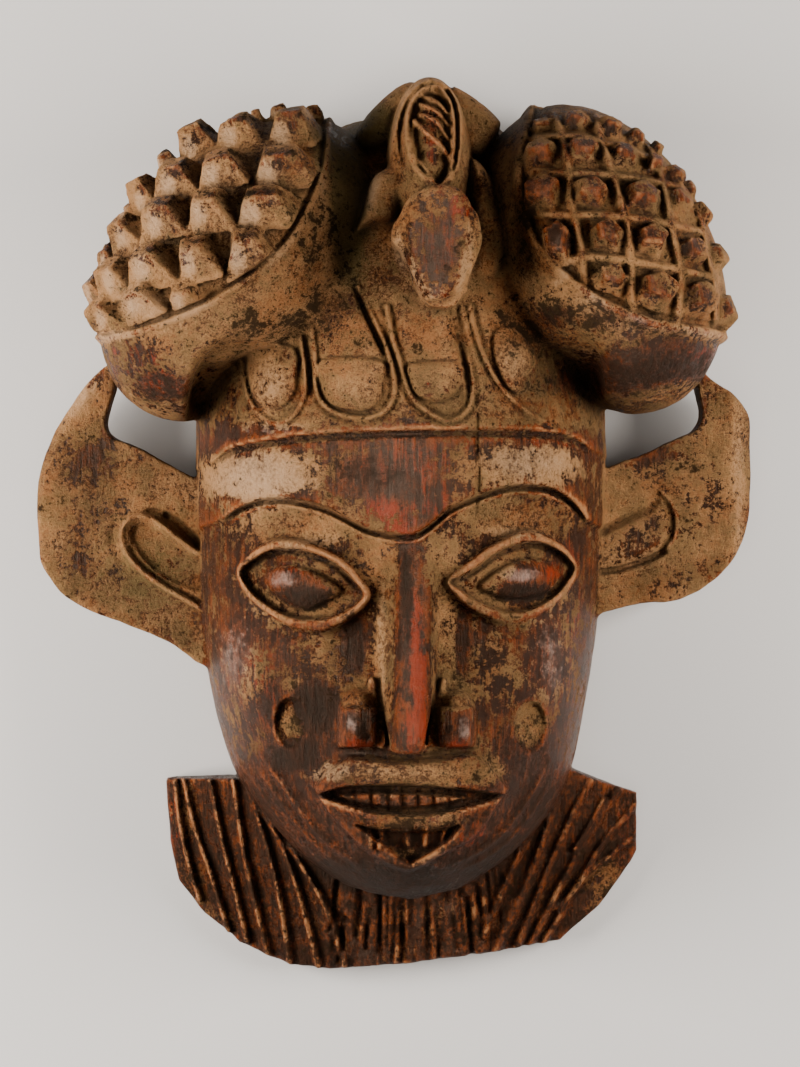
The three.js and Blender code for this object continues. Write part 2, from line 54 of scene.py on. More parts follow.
# The head. A long oval of wood, widest at the temples, narrow at the chin and flat behind. The stations give
# height up the mask, middle, half width and depth.
HEAD_STATIONS = [
    [-171, 6, 14, 62], [-166, 6, 32, 76], [-158, 6, 45, 88], [-148, 6, 57, 96], [-132, 6, 71, 101],
    [-110, 4, 83, 104], [-72, 2.5, 92, 107], [-31, 2.5, 97.5, 108], [25, 3.5, 98.6, 112],
    [70, 3.5, 97.2, 112], [110, 5, 88, 108], [145, 8, 74, 99], [175, 10, 58, 84], [194, 12, 44, 62],
    [203, 12, 22, 34],
]
HEAD_SQUARENESS = 2.3
HEAD_END_ROUNDING = 5.0
ROUGH_STEP = 3.0
LEAST_STEEPNESS = 1e-4


def joined(a, b, fillet):
    """Two bodies of wood as one, with a fillet of this size where they meet."""
    mix = np.clip(0.5 + 0.5 * (b - a) / fillet, 0, 1)
    return b + (a - b) * mix - fillet * mix * (1 - mix)


def common(a, b, fillet):
    """The wood that two bodies share, its edge rounded by this much."""
    return -joined(-a, -b, fillet)


def curve_through(points, steps=6, closed=False):
    """A smooth line through these points, with this many steps from one to the next."""
    marks = np.asarray(points, dtype=float)
    if closed:
        marks = np.vstack([marks[-1:], marks, marks[:2]])
    else:
        marks = np.vstack([2 * marks[0] - marks[1], marks, 2 * marks[-1] - marks[-2]])
    t = np.linspace(0, 1, steps, endpoint=False)[:, None]
    runs = [
        0.5 * (2 * b + (c - a) * t + (2 * a - 5 * b + 4 * c - d) * t**2 + (3 * b - 3 * c + d - a) * t**3)
        for a, b, c, d in zip(marks, marks[1:], marks[2:], marks[3:])
    ]
    return np.vstack(runs) if closed else np.vstack([*runs, marks[-2:-1]])


def spread(rough, rough_axes):
    """A coarse field brought to the block's own grid."""
    for k, (fine, coarse) in enumerate(zip(block_axes, rough_axes)):
        weights = np.stack([np.interp(fine, coarse, row) for row in np.eye(len(coarse))], axis=1)
        rough = np.moveaxis(np.tensordot(weights.astype(np.float32), rough, (1, k)), 0, k)
    return rough


rough_axes = [
    np.linspace(axis[0], axis[-1], int((axis[-1] - axis[0]) / ROUGH_STEP) + 1) for axis in block_axes
]
rough_x, rough_y, rough_z = np.meshgrid(*rough_axes, indexing="ij", sparse=True)
stations = curve_through(HEAD_STATIONS, 8)
middle, half_width, depth = (np.interp(rough_y, stations[:, 0], stations[:, k]) for k in (1, 2, 3))
sideways = np.abs((rough_x - middle) / half_width) ** HEAD_SQUARENESS
forwards = np.abs(rough_z / depth) ** HEAD_SQUARENESS
reach = (sideways + forwards) ** (1 / HEAD_SQUARENESS) - 1
slopes = np.gradient(reach, *rough_axes)
steepness = np.sqrt(sum(slope**2 for slope in slopes)) + LEAST_STEEPNESS
skin = spread((reach / steepness).astype(np.float32), rough_axes)
facing = spread(np.clip(slopes[2] / steepness, 0, 1).astype(np.float32), rough_axes)
past_ends = np.maximum(HEAD_STATIONS[0][0] - plan_y, plan_y - HEAD_STATIONS[-1][0])[:, :, None]
skin = common(skin, past_ends, HEAD_END_ROUNDING)

# The carving on the head. Brow, cap, eyes, lips and scars are cut to set levels above or below the head's
# skin, so they are drawn here as one relief seen from the front, in millimetres of height.
relief = np.zeros_like(plan_x)


def eased(start, end, value):
    """A smooth climb from 0 at start to 1 at end."""
    share = np.clip((value - start) / (end - start), 0, 1)
    return share * share * (3 - 2 * share)


def box_part(low, high):
    """The part of the block between two corners."""
    return tuple(
        slice(int(np.searchsorted(axis, a)), int(np.searchsorted(axis, b)))
        for axis, a, b in zip(block_axes, low, high)
    )


def window(points, margin):
    """The part of the plan that holds these points, with a margin round them."""
    return box_part(np.min(points, axis=0) - margin, np.max(points, axis=0) + margin)


def off_line(points, x, y):
    """Distance from an open line, and the share of the line's length that has passed there."""
    points = np.asarray(points, dtype=float)
    lengths = np.hypot(*np.diff(points, axis=0).T)
    passed = np.concatenate([[0], np.cumsum(lengths)])
    nearest = np.full(x.shape, 1e6)
    share = np.zeros(x.shape)
    for (ax, ay), (bx, by), length, before in zip(points, points[1:], lengths, passed):
        ex, ey = bx - ax, by - ay
        t = np.clip(((x - ax) * ex + (y - ay) * ey) / length**2, 0, 1)
        distance = np.hypot(x - ax - ex * t, y - ay - ey * t)
        closer = distance < nearest
        nearest = np.where(closer, distance, nearest)
        share = np.where(closer, (before + t * length) / passed[-1], share)
    return nearest, share


def off_outline(points, x, y):
    """Distance from a closed outline, negative inside it."""
    points = np.asarray(points, dtype=float)
    nearest, _ = off_line(np.vstack([points, points[:1]]), x, y)
    inside = np.zeros(x.shape, dtype=bool)
    for (ax, ay), (bx, by) in zip(points, np.roll(points, -1, axis=0)):
        if ay != by:
            inside ^= ((ay > y) != (by > y)) & (x < (bx - ax) * (y - ay) / (by - ay) + ax)
    return np.where(inside, -nearest, nearest)


def lift(outline, level, edge, crown=0.0, crown_width=6.0):
    """Brings the wood inside an outline to a level; crown is how much higher its middle stands."""
    part = window(outline, 2 * edge + 2)
    distance = off_outline(outline, plan_x[part], plan_y[part])
    inward = 1 - np.clip(-distance / crown_width, 0, 1)
    height = level + crown * np.sqrt(1 - inward**2)
    relief[part] += (height - relief[part]) * eased(edge / 2, -edge / 2, distance)


def score(points, width, deep, taper=0.0, smooth=True, into=relief):
    """Cuts a line; a negative depth leaves a ridge, and taper is the share of each end that fades out."""
    line = curve_through(points, 6) if smooth else np.asarray(points, dtype=float)
    part = window(line, width)
    distance, share = off_line(line, plan_x[part], plan_y[part])
    profile = np.clip(1 - (distance / (width / 2)) ** 2, 0, 1)
    if taper:
        profile = profile * np.clip(np.minimum(share, 1 - share) / taper, 0, 1)
    into[part] -= deep * profile


def scoop(centre, radii, deep):
    """Cuts a soft oval dish; a negative depth leaves a swelling."""
    part = window([np.subtract(centre, radii), np.add(centre, radii)], 2)
    ring = ((plan_x[part] - centre[0]) / radii[0]) ** 2 + ((plan_y[part] - centre[1]) / radii[1]) ** 2
    relief[part] -= deep * np.clip(1 - ring, 0, 1) ** 2 * (1 + np.clip(1 - ring, 0, 1))


# The planes of the face. The eye sockets are wide shallow scoops cut under the brow. The cheeks and the
# chin are left swelling a little, and the wood falls away beside the nose. Each is a centre, its radii and
# its depth.
PLANES = {
    "left socket": ([-42, 2], [44, 32], 4.2),
    "right socket": ([57, 5], [44, 32], 4.2),
    "left cheek": ([-60, -66], [30, 38], -1.6),
    "right cheek": ([72, -64], [30, 38], -1.6),
    "left of the nose": ([-18, -50], [20, 28], 2.4),
    "right of the nose": ([33, -48], [20, 28], 2.4),
    "chin": ([8, -128], [58, 44], -1.8),
}
for centre, radii, deep in PLANES.values():
    scoop(centre, radii, deep)

# The forehead and the cap. The forehead stands over the brow with a dark cut under its edge, and a thin ridge
# follows the cut. The cap is one level higher and ends above the forehead in a rolled lip.
BROW_LINE = [
    [-79, 7.6], [-71.3, 12.6], [-61.8, 16.2], [-52.7, 17.1], [-43.7, 16.2], [-31.4, 13], [-21.9, 8.5],
    [-12.4, 3.5], [-2.4, 1], [4.4, 0.3], [11.2, 1.2], [19.3, 7.1], [23.8, 11.2], [29.3, 14.4], [41.5, 19.4],
    [50.6, 22.1], [59.6, 23], [68.7, 22.5], [75.5, 20.3], [83.7, 14.8], [90, 7.1],
]
CAP_LINE = [
    [-85.2, 33.4], [-79.3, 37.9], [-71.7, 41], [-57.6, 43.3], [-37.7, 45.6], [3, 47.4], [48.2, 47.8],
    [72.2, 47.4], [84.4, 44.7], [93, 39.7],
]
FOREHEAD_LEVEL = 4.5
CAP_LEVEL = 5.2
CAP_LIP = 1.9
CAP_LIP_WIDTH = 9.0
BROW_RIDGE_DROP = 3.2
BROW_ENDS = -8
CAP_ENDS = [24, 30]
CAP_TOP = 150
SIDE_REACH = 125

brow_curve = curve_through(BROW_LINE, 4)
cap_curve = curve_through(CAP_LINE, 4)
cap_edge = np.vstack([[[-SIDE_REACH, CAP_ENDS[0]]], cap_curve, [[SIDE_REACH, CAP_ENDS[1]]]])
forehead = np.vstack([[[-SIDE_REACH, BROW_ENDS]], brow_curve, [[SIDE_REACH, BROW_ENDS]], cap_edge[::-1]])
lift(forehead, FOREHEAD_LEVEL, edge=2.2)
cap = np.vstack([cap_edge, [[SIDE_REACH, CAP_TOP], [-SIDE_REACH, CAP_TOP]]])
lift(cap, CAP_LEVEL, edge=1.8)
lip_distance, _ = off_line(cap_edge, plan_x, plan_y)
on_cap = eased(0.8, -0.8, off_outline(cap, plan_x, plan_y))
relief += on_cap * CAP_LIP * np.clip(1 - lip_distance / CAP_LIP_WIDTH, 0, 1) ** 2
score(cap_curve - [0, 1.7], width=3.0, deep=2.6, taper=0.04, smooth=False)
score(brow_curve - [0, 1.2], width=2.6, deep=2.4, taper=0.05, smooth=False)
score(brow_curve - [0, BROW_RIDGE_DROP], width=2.6, deep=-1.9, taper=0.05, smooth=False)

# The cap's pattern. Four U shapes of paired lines hang from the hair, each with a raised tongue inside it,
# and a plain braid of upright lines ends the row at the right.
U_LINES = [
    [[-70.6, 84], [-69.2, 72.6], [-66.1, 62.2], [-61.1, 55.4], [-53.9, 50.9], [-46.7, 53.6], [-42.1, 59],
     [-39.9, 68], [-40.3, 78.4], [-42.1, 90]],
    [[-37.2, 94], [-35.4, 79.3], [-34.9, 66.7], [-30.9, 59], [-23.2, 54.5], [-13.3, 53.1], [-5.1, 55.4],
     [-0.6, 61.3], [0.3, 69.4], [-1.5, 80.2], [-6.9, 92.9], [-12.3, 104.2], [-16, 113]],
    [[-2.9, 104], [-0.2, 88.4], [3.9, 74.8], [8.4, 62.6], [15.6, 55.9], [24.7, 51.8], [32.3, 55.4],
     [35.5, 62.2], [34.6, 73.9], [31, 88.4], [26.9, 104]],
    [[34.6, 104], [37.8, 90.6], [42.3, 78.4], [49.5, 66.7], [59.4, 57.7], [71.7, 51]],
]
U_TABS = [
    [[-66.1, 86], [-66.5, 72.6], [-63.8, 63.1], [-57.5, 58.6], [-50.7, 59], [-45.8, 63.1], [-44, 71.2],
     [-45.8, 86]],
    [[-32.2, 79.4], [-32.7, 68], [-28.6, 59.9], [-20.5, 56.8], [-12.3, 56.8], [-6.5, 60.4], [-5.1, 68],
     [-6, 79]],
    [[8, 77.5], [7.5, 70.3], [10.7, 63.5], [17.4, 60.8], [24.7, 61.7], [29.6, 66.7], [30.5, 77.5]],
    [[45, 86.1], [46.8, 93], [53.1, 95], [60.8, 89.4], [66.2, 78.4], [63.9, 70.3], [59, 64.9], [53.1, 66.2],
     [48.1, 73.9]],
]
BRAID_LINES = [
    [[65.8, 86], [68.9, 73.9], [72.1, 62.2], [74.3, 52.6]],
    [[69.4, 86], [73.4, 73.9], [77.9, 62.2], [80.6, 54.5]],
    [[73.4, 84], [78.4, 72.1], [83.4, 60.4], [86.1, 53.1]],
    [[-40.6, 92.9], [-39, 81.6], [-37.6, 70.3], [-37, 62]],
    [[-73.3, 73.9], [-72.8, 63.5], [-73.7, 52.2]],
]
DEEP_CUTS = [
    [[-16.9, 113], [-12.3, 101], [-7.8, 90.6], [-3.3, 81.1]],
    [[26.9, 105], [29.6, 92.9], [32.3, 79.3], [35.1, 63.1]],
]
for line in U_LINES:
    score(line, width=7.4, deep=1.9)
    score(line, width=3.0, deep=-2.4)
for line in BRAID_LINES:
    score(line, width=3.2, deep=1.5, taper=0.1)
for line in DEEP_CUTS:
    score(line, width=4.2, deep=2.6, taper=0.15)
for tab in U_TABS:
    tab_curve = curve_through(tab, 5, closed=True)
    score(np.vstack([tab_curve, tab_curve[:1]]), width=3.4, deep=1.1, smooth=False)
    lift(tab_curve, CAP_LEVEL + 0.5, edge=1.2, crown=1.7, crown_width=7.0)

# The drying crack. The block has split along its grain, from the cap down the forehead to the brow at the
# right of the nose, and the crack has been left open.
CRACK = [[38.3, 60], [37.8, 43.3], [38.6, 29.7], [38.2, 16.2], [37.4, 5.3]]
score(CRACK, width=2.0, deep=1.3, taper=0.1)

# The eyes. Almond openings are cut inside a raised rim, under a heavy lid and over a soft fold, and a
# lens-shaped ball is left standing in each of them.
EYES = [
    {
        "rim": [
            [-72.8, -16], [-69.2, -11], [-64.2, -6.5], [-58.7, -3.3], [-52.4, -1.5], [-45.1, -1.9],
            [-37.8, -3.8], [-30.6, -6.5], [-24.2, -10.1], [-18.8, -14.2], [-14.7, -19.6], [-9.7, -26.5],
            [-14.2, -33.3], [-19.2, -37.3], [-26.5, -41.4], [-33.8, -43.7], [-41.9, -43.2], [-49.6, -40.5],
            [-56.9, -36.4], [-63.3, -31.9], [-67.8, -27.4], [-71, -22.4],
        ],
        "opening": [
            [-70.5, -16.9], [-64.6, -11.5], [-56, -6.9], [-48.7, -6], [-41.5, -6.5], [-33.3, -9.2],
            [-26.5, -12.4], [-19.7, -18.7], [-13.5, -26.7], [-18.8, -32.8], [-26.5, -36.4], [-34.2, -38.3],
            [-43.3, -37.8], [-51, -35.5], [-59.6, -30.5], [-66, -25.1],
        ],
        "ball": [
            [-59.6, -20.1], [-56.9, -16], [-51.5, -13.7], [-42.4, -14.2], [-33.3, -17.8], [-23.6, -24.8],
            [-32.4, -31], [-41.5, -34.2], [-51, -30.1], [-57.8, -24.6],
        ],
        "lid": [[-70, -16], [-62, -9.6], [-52, -5.6], [-42, -6], [-32, -9.2], [-23, -14.8], [-15, -25]],
        "under": [[-58, -39.5], [-46, -44.5], [-34, -47], [-24, -44.5], [-15, -39], [-9, -31]],
    },
    {
        "rim": [
            [23.9, -21], [28.9, -15.6], [35.2, -11], [41.1, -6.5], [47.5, -2.9], [53.8, 0.3], [59.7, 2.1],
            [66.5, 1.2], [72, -1], [77.4, -3.8], [81.5, -7.4], [84.7, -11.5], [87, -16], [83.3, -23.7],
            [77.9, -29.2], [72, -34.2], [65.6, -37.8], [59.7, -39.6], [53.4, -40.5], [46.1, -38.7],
            [38.9, -35.5], [33.4, -32.4], [28, -27.5],
        ],
        "opening": [
            [25.4, -20.8], [31.1, -18.3], [38.4, -14.2], [44.8, -9.2], [52, -5.6], [59.7, -3.3], [67, -3.3],
            [73.3, -5.6], [79.2, -9.2], [83.8, -15.1], [80.1, -21.5], [74.7, -27.4], [67.4, -31.9],
            [60.2, -34.6], [52.9, -35.1], [44.8, -32.8], [36.1, -28.7], [29.8, -24.2],
        ],
        "ball": [
            [39.3, -23.7], [44.8, -17.4], [52.9, -12.8], [62, -10.6], [71.1, -12.4], [77.4, -17.4],
            [75.6, -22.4], [71.1, -26], [62, -28.7], [49.7, -28.3],
        ],
        "lid": [[27, -19.5], [36, -15], [45, -8.6], [54, -4.2], [64, -2.6], [74, -5.6], [82.5, -13]],
        "under": [[66, -41.5], [55, -44.5], [45, -42.5], [36, -38], [29, -33], [24, -25]],
    },
]
LID_LEVEL = 2.4
EYE_FLOOR = -4.6
BALL_LEVEL = -3.0
BALL_CROWN = 6.2
for eye in EYES:
    score(eye["under"], width=7.0, deep=1.8, taper=0.25)
    lift(curve_through(eye["rim"], 3, closed=True), LID_LEVEL, edge=2.6, crown=0.9, crown_width=4.0)
    lift(curve_through(eye["opening"], 3, closed=True), EYE_FLOOR, edge=2.0, crown=1.4, crown_width=9.0)
    score(np.array(eye["lid"]) - [0, 1.6], width=3.6, deep=1.6, taper=0.12)
    ball = curve_through(eye["ball"], 4, closed=True)
    score(np.vstack([ball, ball[:1]]), width=3.6, deep=0.8, smooth=False)
    lift(ball, BALL_LEVEL, edge=1.6, crown=BALL_CROWN, crown_width=12.0)

# The mouth. A thick upper lip stands over a row of teeth in a dark slot. The lower lip comes to a point and
# is cut away inside its edge, where narrow folds of wood hang down.
UPPER_LIP = [
    [-36.3, -115], [-33.2, -111.4], [-29.6, -107.3], [-25.9, -104.6], [-20.5, -100.6], [-14.2, -100.9],
    [-5.1, -102.3], [3, -103.2], [9.8, -103.2], [16.6, -102.3], [22.4, -101.4], [28.8, -100], [34.2, -99],
    [39.2, -100.9], [43.2, -104.1], [48.2, -110], [52.7, -115.9], [51.4, -119], [43.7, -117.7],
    [36.5, -116.3], [29.2, -115], [22.4, -114.5], [12, -113.6], [1.6, -113.2], [-6.9, -113.2],
    [-14.2, -113.6], [-19.6, -114.1], [-24.1, -115], [-29.6, -116.8], [-34.5, -118.6],
]
LOWER_LIP = [
    [-33.8, -119], [-30.1, -126.7], [-23.8, -133.6], [-16.5, -140.8], [-10.2, -145.8], [-3.8, -149.9],
    [1.6, -152.6], [7.1, -154], [13, -151.7], [18.9, -147.6], [28, -143.5], [36.6, -139], [43.4, -130.8],
    [49.7, -119.6], [30, -117], [8, -116], [-18, -116],
]
SLOT = [
    [-33.3, -118.4], [-24.2, -115], [-14.2, -113.4], [1.6, -113.2], [22.5, -114.6], [36.6, -116.6],
    [48.4, -119.3], [39.3, -122.2], [28, -124.9], [16.6, -126.9], [5.3, -127.4], [-8.3, -126],
    [-19.7, -122.9], [-27.9, -120.6],
]
TEETH = [
    [-25.2, -118.8], [-14.2, -117.2], [-1.5, -117], [12.1, -117.4], [23.4, -118.2], [33, -119.7],
    [25.7, -122], [14.3, -123.6], [3, -124], [-9.7, -123.1], [-18.8, -121.5],
]
LIP_HOLLOW = [
    [-16.5, -132], [-9.7, -133.2], [-1.5, -134.4], [7.1, -134.8], [15.7, -134.4], [23, -133.4], [30, -132.2],
    [26.5, -137.2], [21.2, -141.9], [14.3, -146], [8, -149.4], [3.2, -147], [-2.8, -142], [-9.4, -137.2],
]
LOWER_LIP_LEVEL = 5.0
SLOT_LEVEL = -3.0
TOOTH_LEVEL = 1.2
TOOTH_GAPS = [-17.5, -10, -2.5, 4, 11, 18, 25]
HOLLOW_LEVEL = -0.5
LIP_FOLDS = [[-12, -10], [-4.5, -6.5], [6, 7], [15, 14.5], [24.5, 21.5]]
UPPER_LIP_LEVEL = 6.6
UPPER_LIP_CROWN = 3.4

LOWER_LIP_ROLL = [[-22, -125], [-8, -129.5], [8, -131], [24, -129.5], [40, -124]]
UPPER_LIP_ROLL = [[-30, -116], [-18, -112.6], [0, -111.6], [20, -112.6], [38, -115], [48, -117]]
LIP_NOSE_CUT = [[-22, -98.2], [-8, -99.4], [8, -100.6], [20, -99.6], [34, -96.6]]
LOWER_LIP_EDGE = 14

lift(LOWER_LIP, LOWER_LIP_LEVEL, edge=2.4, crown=0.8, crown_width=4.0)
score(np.array(LOWER_LIP[:LOWER_LIP_EDGE]) + [0, 2.4], width=3.4, deep=-0.9, taper=0.08)
lift(LIP_HOLLOW, HOLLOW_LEVEL, edge=2.2)
for top_x, foot_x in LIP_FOLDS:
    fold = [[top_x, -131.5], [(top_x + foot_x) / 2, -137], [foot_x, -144]]
    score(fold, width=2.6, deep=-2.4, taper=0.2)
score(LOWER_LIP_ROLL, width=5, deep=-0.9, taper=0.2)
lift(SLOT, SLOT_LEVEL, edge=1.6)
lift(TEETH, TOOTH_LEVEL, edge=1.6, crown=0.8, crown_width=3.0)
for gap in TOOTH_GAPS:
    score([[gap, -116.5], [gap + 0.4, -124.5]], width=2.0, deep=1.4, smooth=False)
lift(UPPER_LIP, UPPER_LIP_LEVEL, edge=2.0, crown=UPPER_LIP_CROWN, crown_width=11.0)
score(UPPER_LIP_ROLL, width=5, deep=-0.8, taper=0.2)
score(LIP_NOSE_CUT, width=4.0, deep=2.0, taper=0.2)

# The cheek marks and the jaw. Each cheek carries an oval scar, a shallow dish with a low ring round it. A
# broad low roll follows each side of the jaw and carries three fine raised lines.
CHEEK_SCARS = [[63, -88], [-47, -86]]
SCAR_RADII = [7.2, 11.5]
SCAR_LEVEL = -2.2
ring_turns = np.linspace(0, 2 * math.pi, 20, endpoint=False)
for x, y in CHEEK_SCARS:
    ring = np.stack([x + SCAR_RADII[0] * np.cos(ring_turns), y + SCAR_RADII[1] * np.sin(ring_turns)], axis=1)
    score(np.vstack([ring, ring[:1]]), width=4.4, deep=-0.7, smooth=False)
    lift(ring, SCAR_LEVEL, edge=3.0)

JAW_LINES = [
    [[-74, -102.8], [-67.6, -111.9], [-60.2, -121.1], [-52, -133], [-42.8, -144], [-32.7, -152.3],
     [-22.2, -157.8]],
    [[83.2, -107.4], [77.2, -118.8], [69.4, -131.2], [58.9, -144], [46.5, -152.3], [32.8, -157.8]],
]
JAW_STEPS = [-1, 4, 8.5]
for line, side in zip(JAW_LINES, (1, -1)):
    score(line, width=9.0, deep=-1.3, taper=0.2)
    for step in JAW_STEPS:
        score(np.add(line, [side * step, 0.7 * step]), width=2.8, deep=-2.0, taper=0.25)

# The relief goes onto the head. It stands at its full height where the wood faces the front, and fades to a
# small share of it at the sides, which the carver left nearly plain.
SIDE_SHARE = 0.15
share = SIDE_SHARE + (1 - SIDE_SHARE) * facing
field = skin - relief.astype(np.float32)[:, :, None] * share

# The nose. A long flat-topped wedge with a broad left side and a steep right one, two thin ribs beside its
# tip, and a square faceted block of a nostril at each side with a rounded wing over it. Stations give
# height up the mask, ridge height, then the left foot, left edge, right edge and right foot.
NOSE_STATIONS = [
    [4, 106, -8, 3, 16, 21], [-4, 110, -9, 2.8, 17, 21.6], [-15, 114, -9.9, 2.6, 17.2, 22.1],
    [-30, 118.5, -10.2, 2.6, 17, 22], [-62, 126, -10.2, 2.4, 15.8, 21.4], [-84, 131.5, -9.8, 1.6, 14.4, 20.4],
    [-93, 132.5, -8.8, 0.6, 13.4, 19], [-99, 129.5, -7, 0.4, 12.6, 18],
]
NOSE_FOOT = 101
NOSE_TIP = -98
NOSE_ROOT = 4
NOSE_CROWN = {"middle": 9, "fall": 0.02, "rise": 0.5}
NOSTRILS = [
    {"x": -15.4, "y": -86.2, "width": 14.5, "height": 17.5, "top": 121},
    {"x": 27.8, "y": -86.2, "width": 14, "height": 17.5, "top": 121},
]
WINGS = [
    {"centre": [-15, -75.2, 104], "radii": [8.0, 6.0, 14]},
    {"centre": [28, -75.4, 104], "radii": [7.6, 5.6, 14]},
]
NOSTRIL_ROUNDING = 2.6
RIBS = [
    [[-9.6, -66], [-8.6, -76.6], [-7, -84.3], [-5.6, -91.4], [-5.4, -94.6]],
    [[22.6, -66], [20.4, -78.9], [18.4, -89.2], [17.8, -94]],
]
RIB_TOP = 115.5
RIB_HALF = 1.8
RIB_FALL = 4
RIB_GAP_OFFSET = 3.0
RIB_GAP_HALF = 0.7
RIB_GAP_DEPTH = 3
NOSE_BOX = [[-16, -108, 76], [30, 12, 140]]
RIB_BOX = [[-16, -104, 85], [30, -60, 130]]
NOSE_MIDDLE = 6


def carved(a, b, fillet):
    """The first body with the second cut out of it."""
    return -joined(-a, b, fillet)


def places(part):
    """How far across, along and outward every point in a part of the block lies."""
    return across[part[0]][:, None, None], along[part[1]][None, :, None], outward[part[2]][None, None, :]


def add(low, high, shape, fillet):
    """Joins a shape to the wood, working only in the box that holds it."""
    part = box_part(low, high)
    field[part] = joined(field[part], shape(*places(part)), fillet)


def egg(centre, radii, turn=0.0, back=None):
    """An ellipsoid's field; back is its radius behind the centre where that differs."""
    cos, sin = math.cos(math.radians(turn)), math.sin(math.radians(turn))

    def shape(x, y, z):
        dx, dy, dz = x - centre[0], y - centre[1], z - centre[2]
        u, v = dx * cos + dy * sin, dy * cos - dx * sin
        c = radii[2] if back is None else np.where(dz < 0, back, radii[2])
        near = np.sqrt((u / radii[0]) ** 2 + (v / radii[1]) ** 2 + (dz / c) ** 2)
        fall = np.sqrt((u / radii[0] ** 2) ** 2 + (v / radii[1] ** 2) ** 2 + (dz / c**2) ** 2)
        return near * (near - 1) / np.maximum(fall, 1e-6)

    return shape


def wedge(x, y, z):
    """The nose, from its stations."""
    marks = np.array(NOSE_STATIONS[::-1], dtype=float)
    ridge, left_foot, left_edge, right_edge, right_foot = (
        np.interp(y, marks[:, 0], marks[:, k]) for k in range(1, 6)
    )
    climb = np.clip((z - NOSE_FOOT) / (ridge - NOSE_FOOT), -0.6, 1.2)
    left = (left_foot + (left_edge - left_foot) * climb - x) * 0.9
    right = (x - right_foot - (right_edge - right_foot) * climb) * 0.95
    crown = z - ridge + NOSE_CROWN["fall"] * (x - NOSE_CROWN["middle"]) ** 2 - NOSE_CROWN["rise"]
    body = common(common(left, right, 1.5), crown, 1.8)
    body = common(body, (NOSE_TIP - y) + 0.12 * (ridge - z), 2.6)
    return common(body, y - NOSE_ROOT, 4.0)


def nostril(block):
    """The square block of a nostril, sloping off to both sides and to its foot."""

    def shape(x, y, z):
        over = z - block["top"]
        sx = np.abs(x - block["x"]) - block["width"] / 2 + 0.16 * over
        sy = np.abs(y - block["y"]) - block["height"] / 2 + 0.1 * over
        slope = 0.28 * np.abs(x - block["x"] + 1.5) + 0.34 * np.clip(block["y"] - 2 - y, 0, 20)
        return common(common(sx, sy, NOSTRIL_ROUNDING), over + slope, 1.6)

    return shape


add(*NOSE_BOX, wedge, 2.0)
part = box_part(*RIB_BOX)
x, y, z = places(part)
flat_x, flat_y = plan_x[part[:2]], plan_y[part[:2]]
for rib in RIBS:
    distance, share_along = off_line(rib, flat_x, flat_y)
    inward = math.copysign(RIB_GAP_OFFSET, NOSE_MIDDLE - rib[0][0])
    inner, _ = off_line(np.add(rib, [inward, 0]), flat_x, flat_y)
    gap = common((inner - RIB_GAP_HALF)[:, :, None], RIB_TOP - RIB_GAP_DEPTH - z, 0.6)
    field[part] = carved(field[part], gap, 0.8)
    top = RIB_TOP - RIB_FALL * (1 - share_along)
    bar = common((distance - RIB_HALF)[:, :, None], z - top[:, :, None], 1.6)
    field[part] = joined(field[part], bar, 1.4)
for wing in WINGS:
    low, high = np.subtract(wing["centre"], 16), np.add(wing["centre"], 16)
    add(low, high, egg(wing["centre"], wing["radii"]), 2.5)
for block in NOSTRILS:
    low, high = (block["x"] - 16, block["y"] - 18, 80), (block["x"] + 16, block["y"] + 18, 130)
    add(low, high, nostril(block), 1.6)

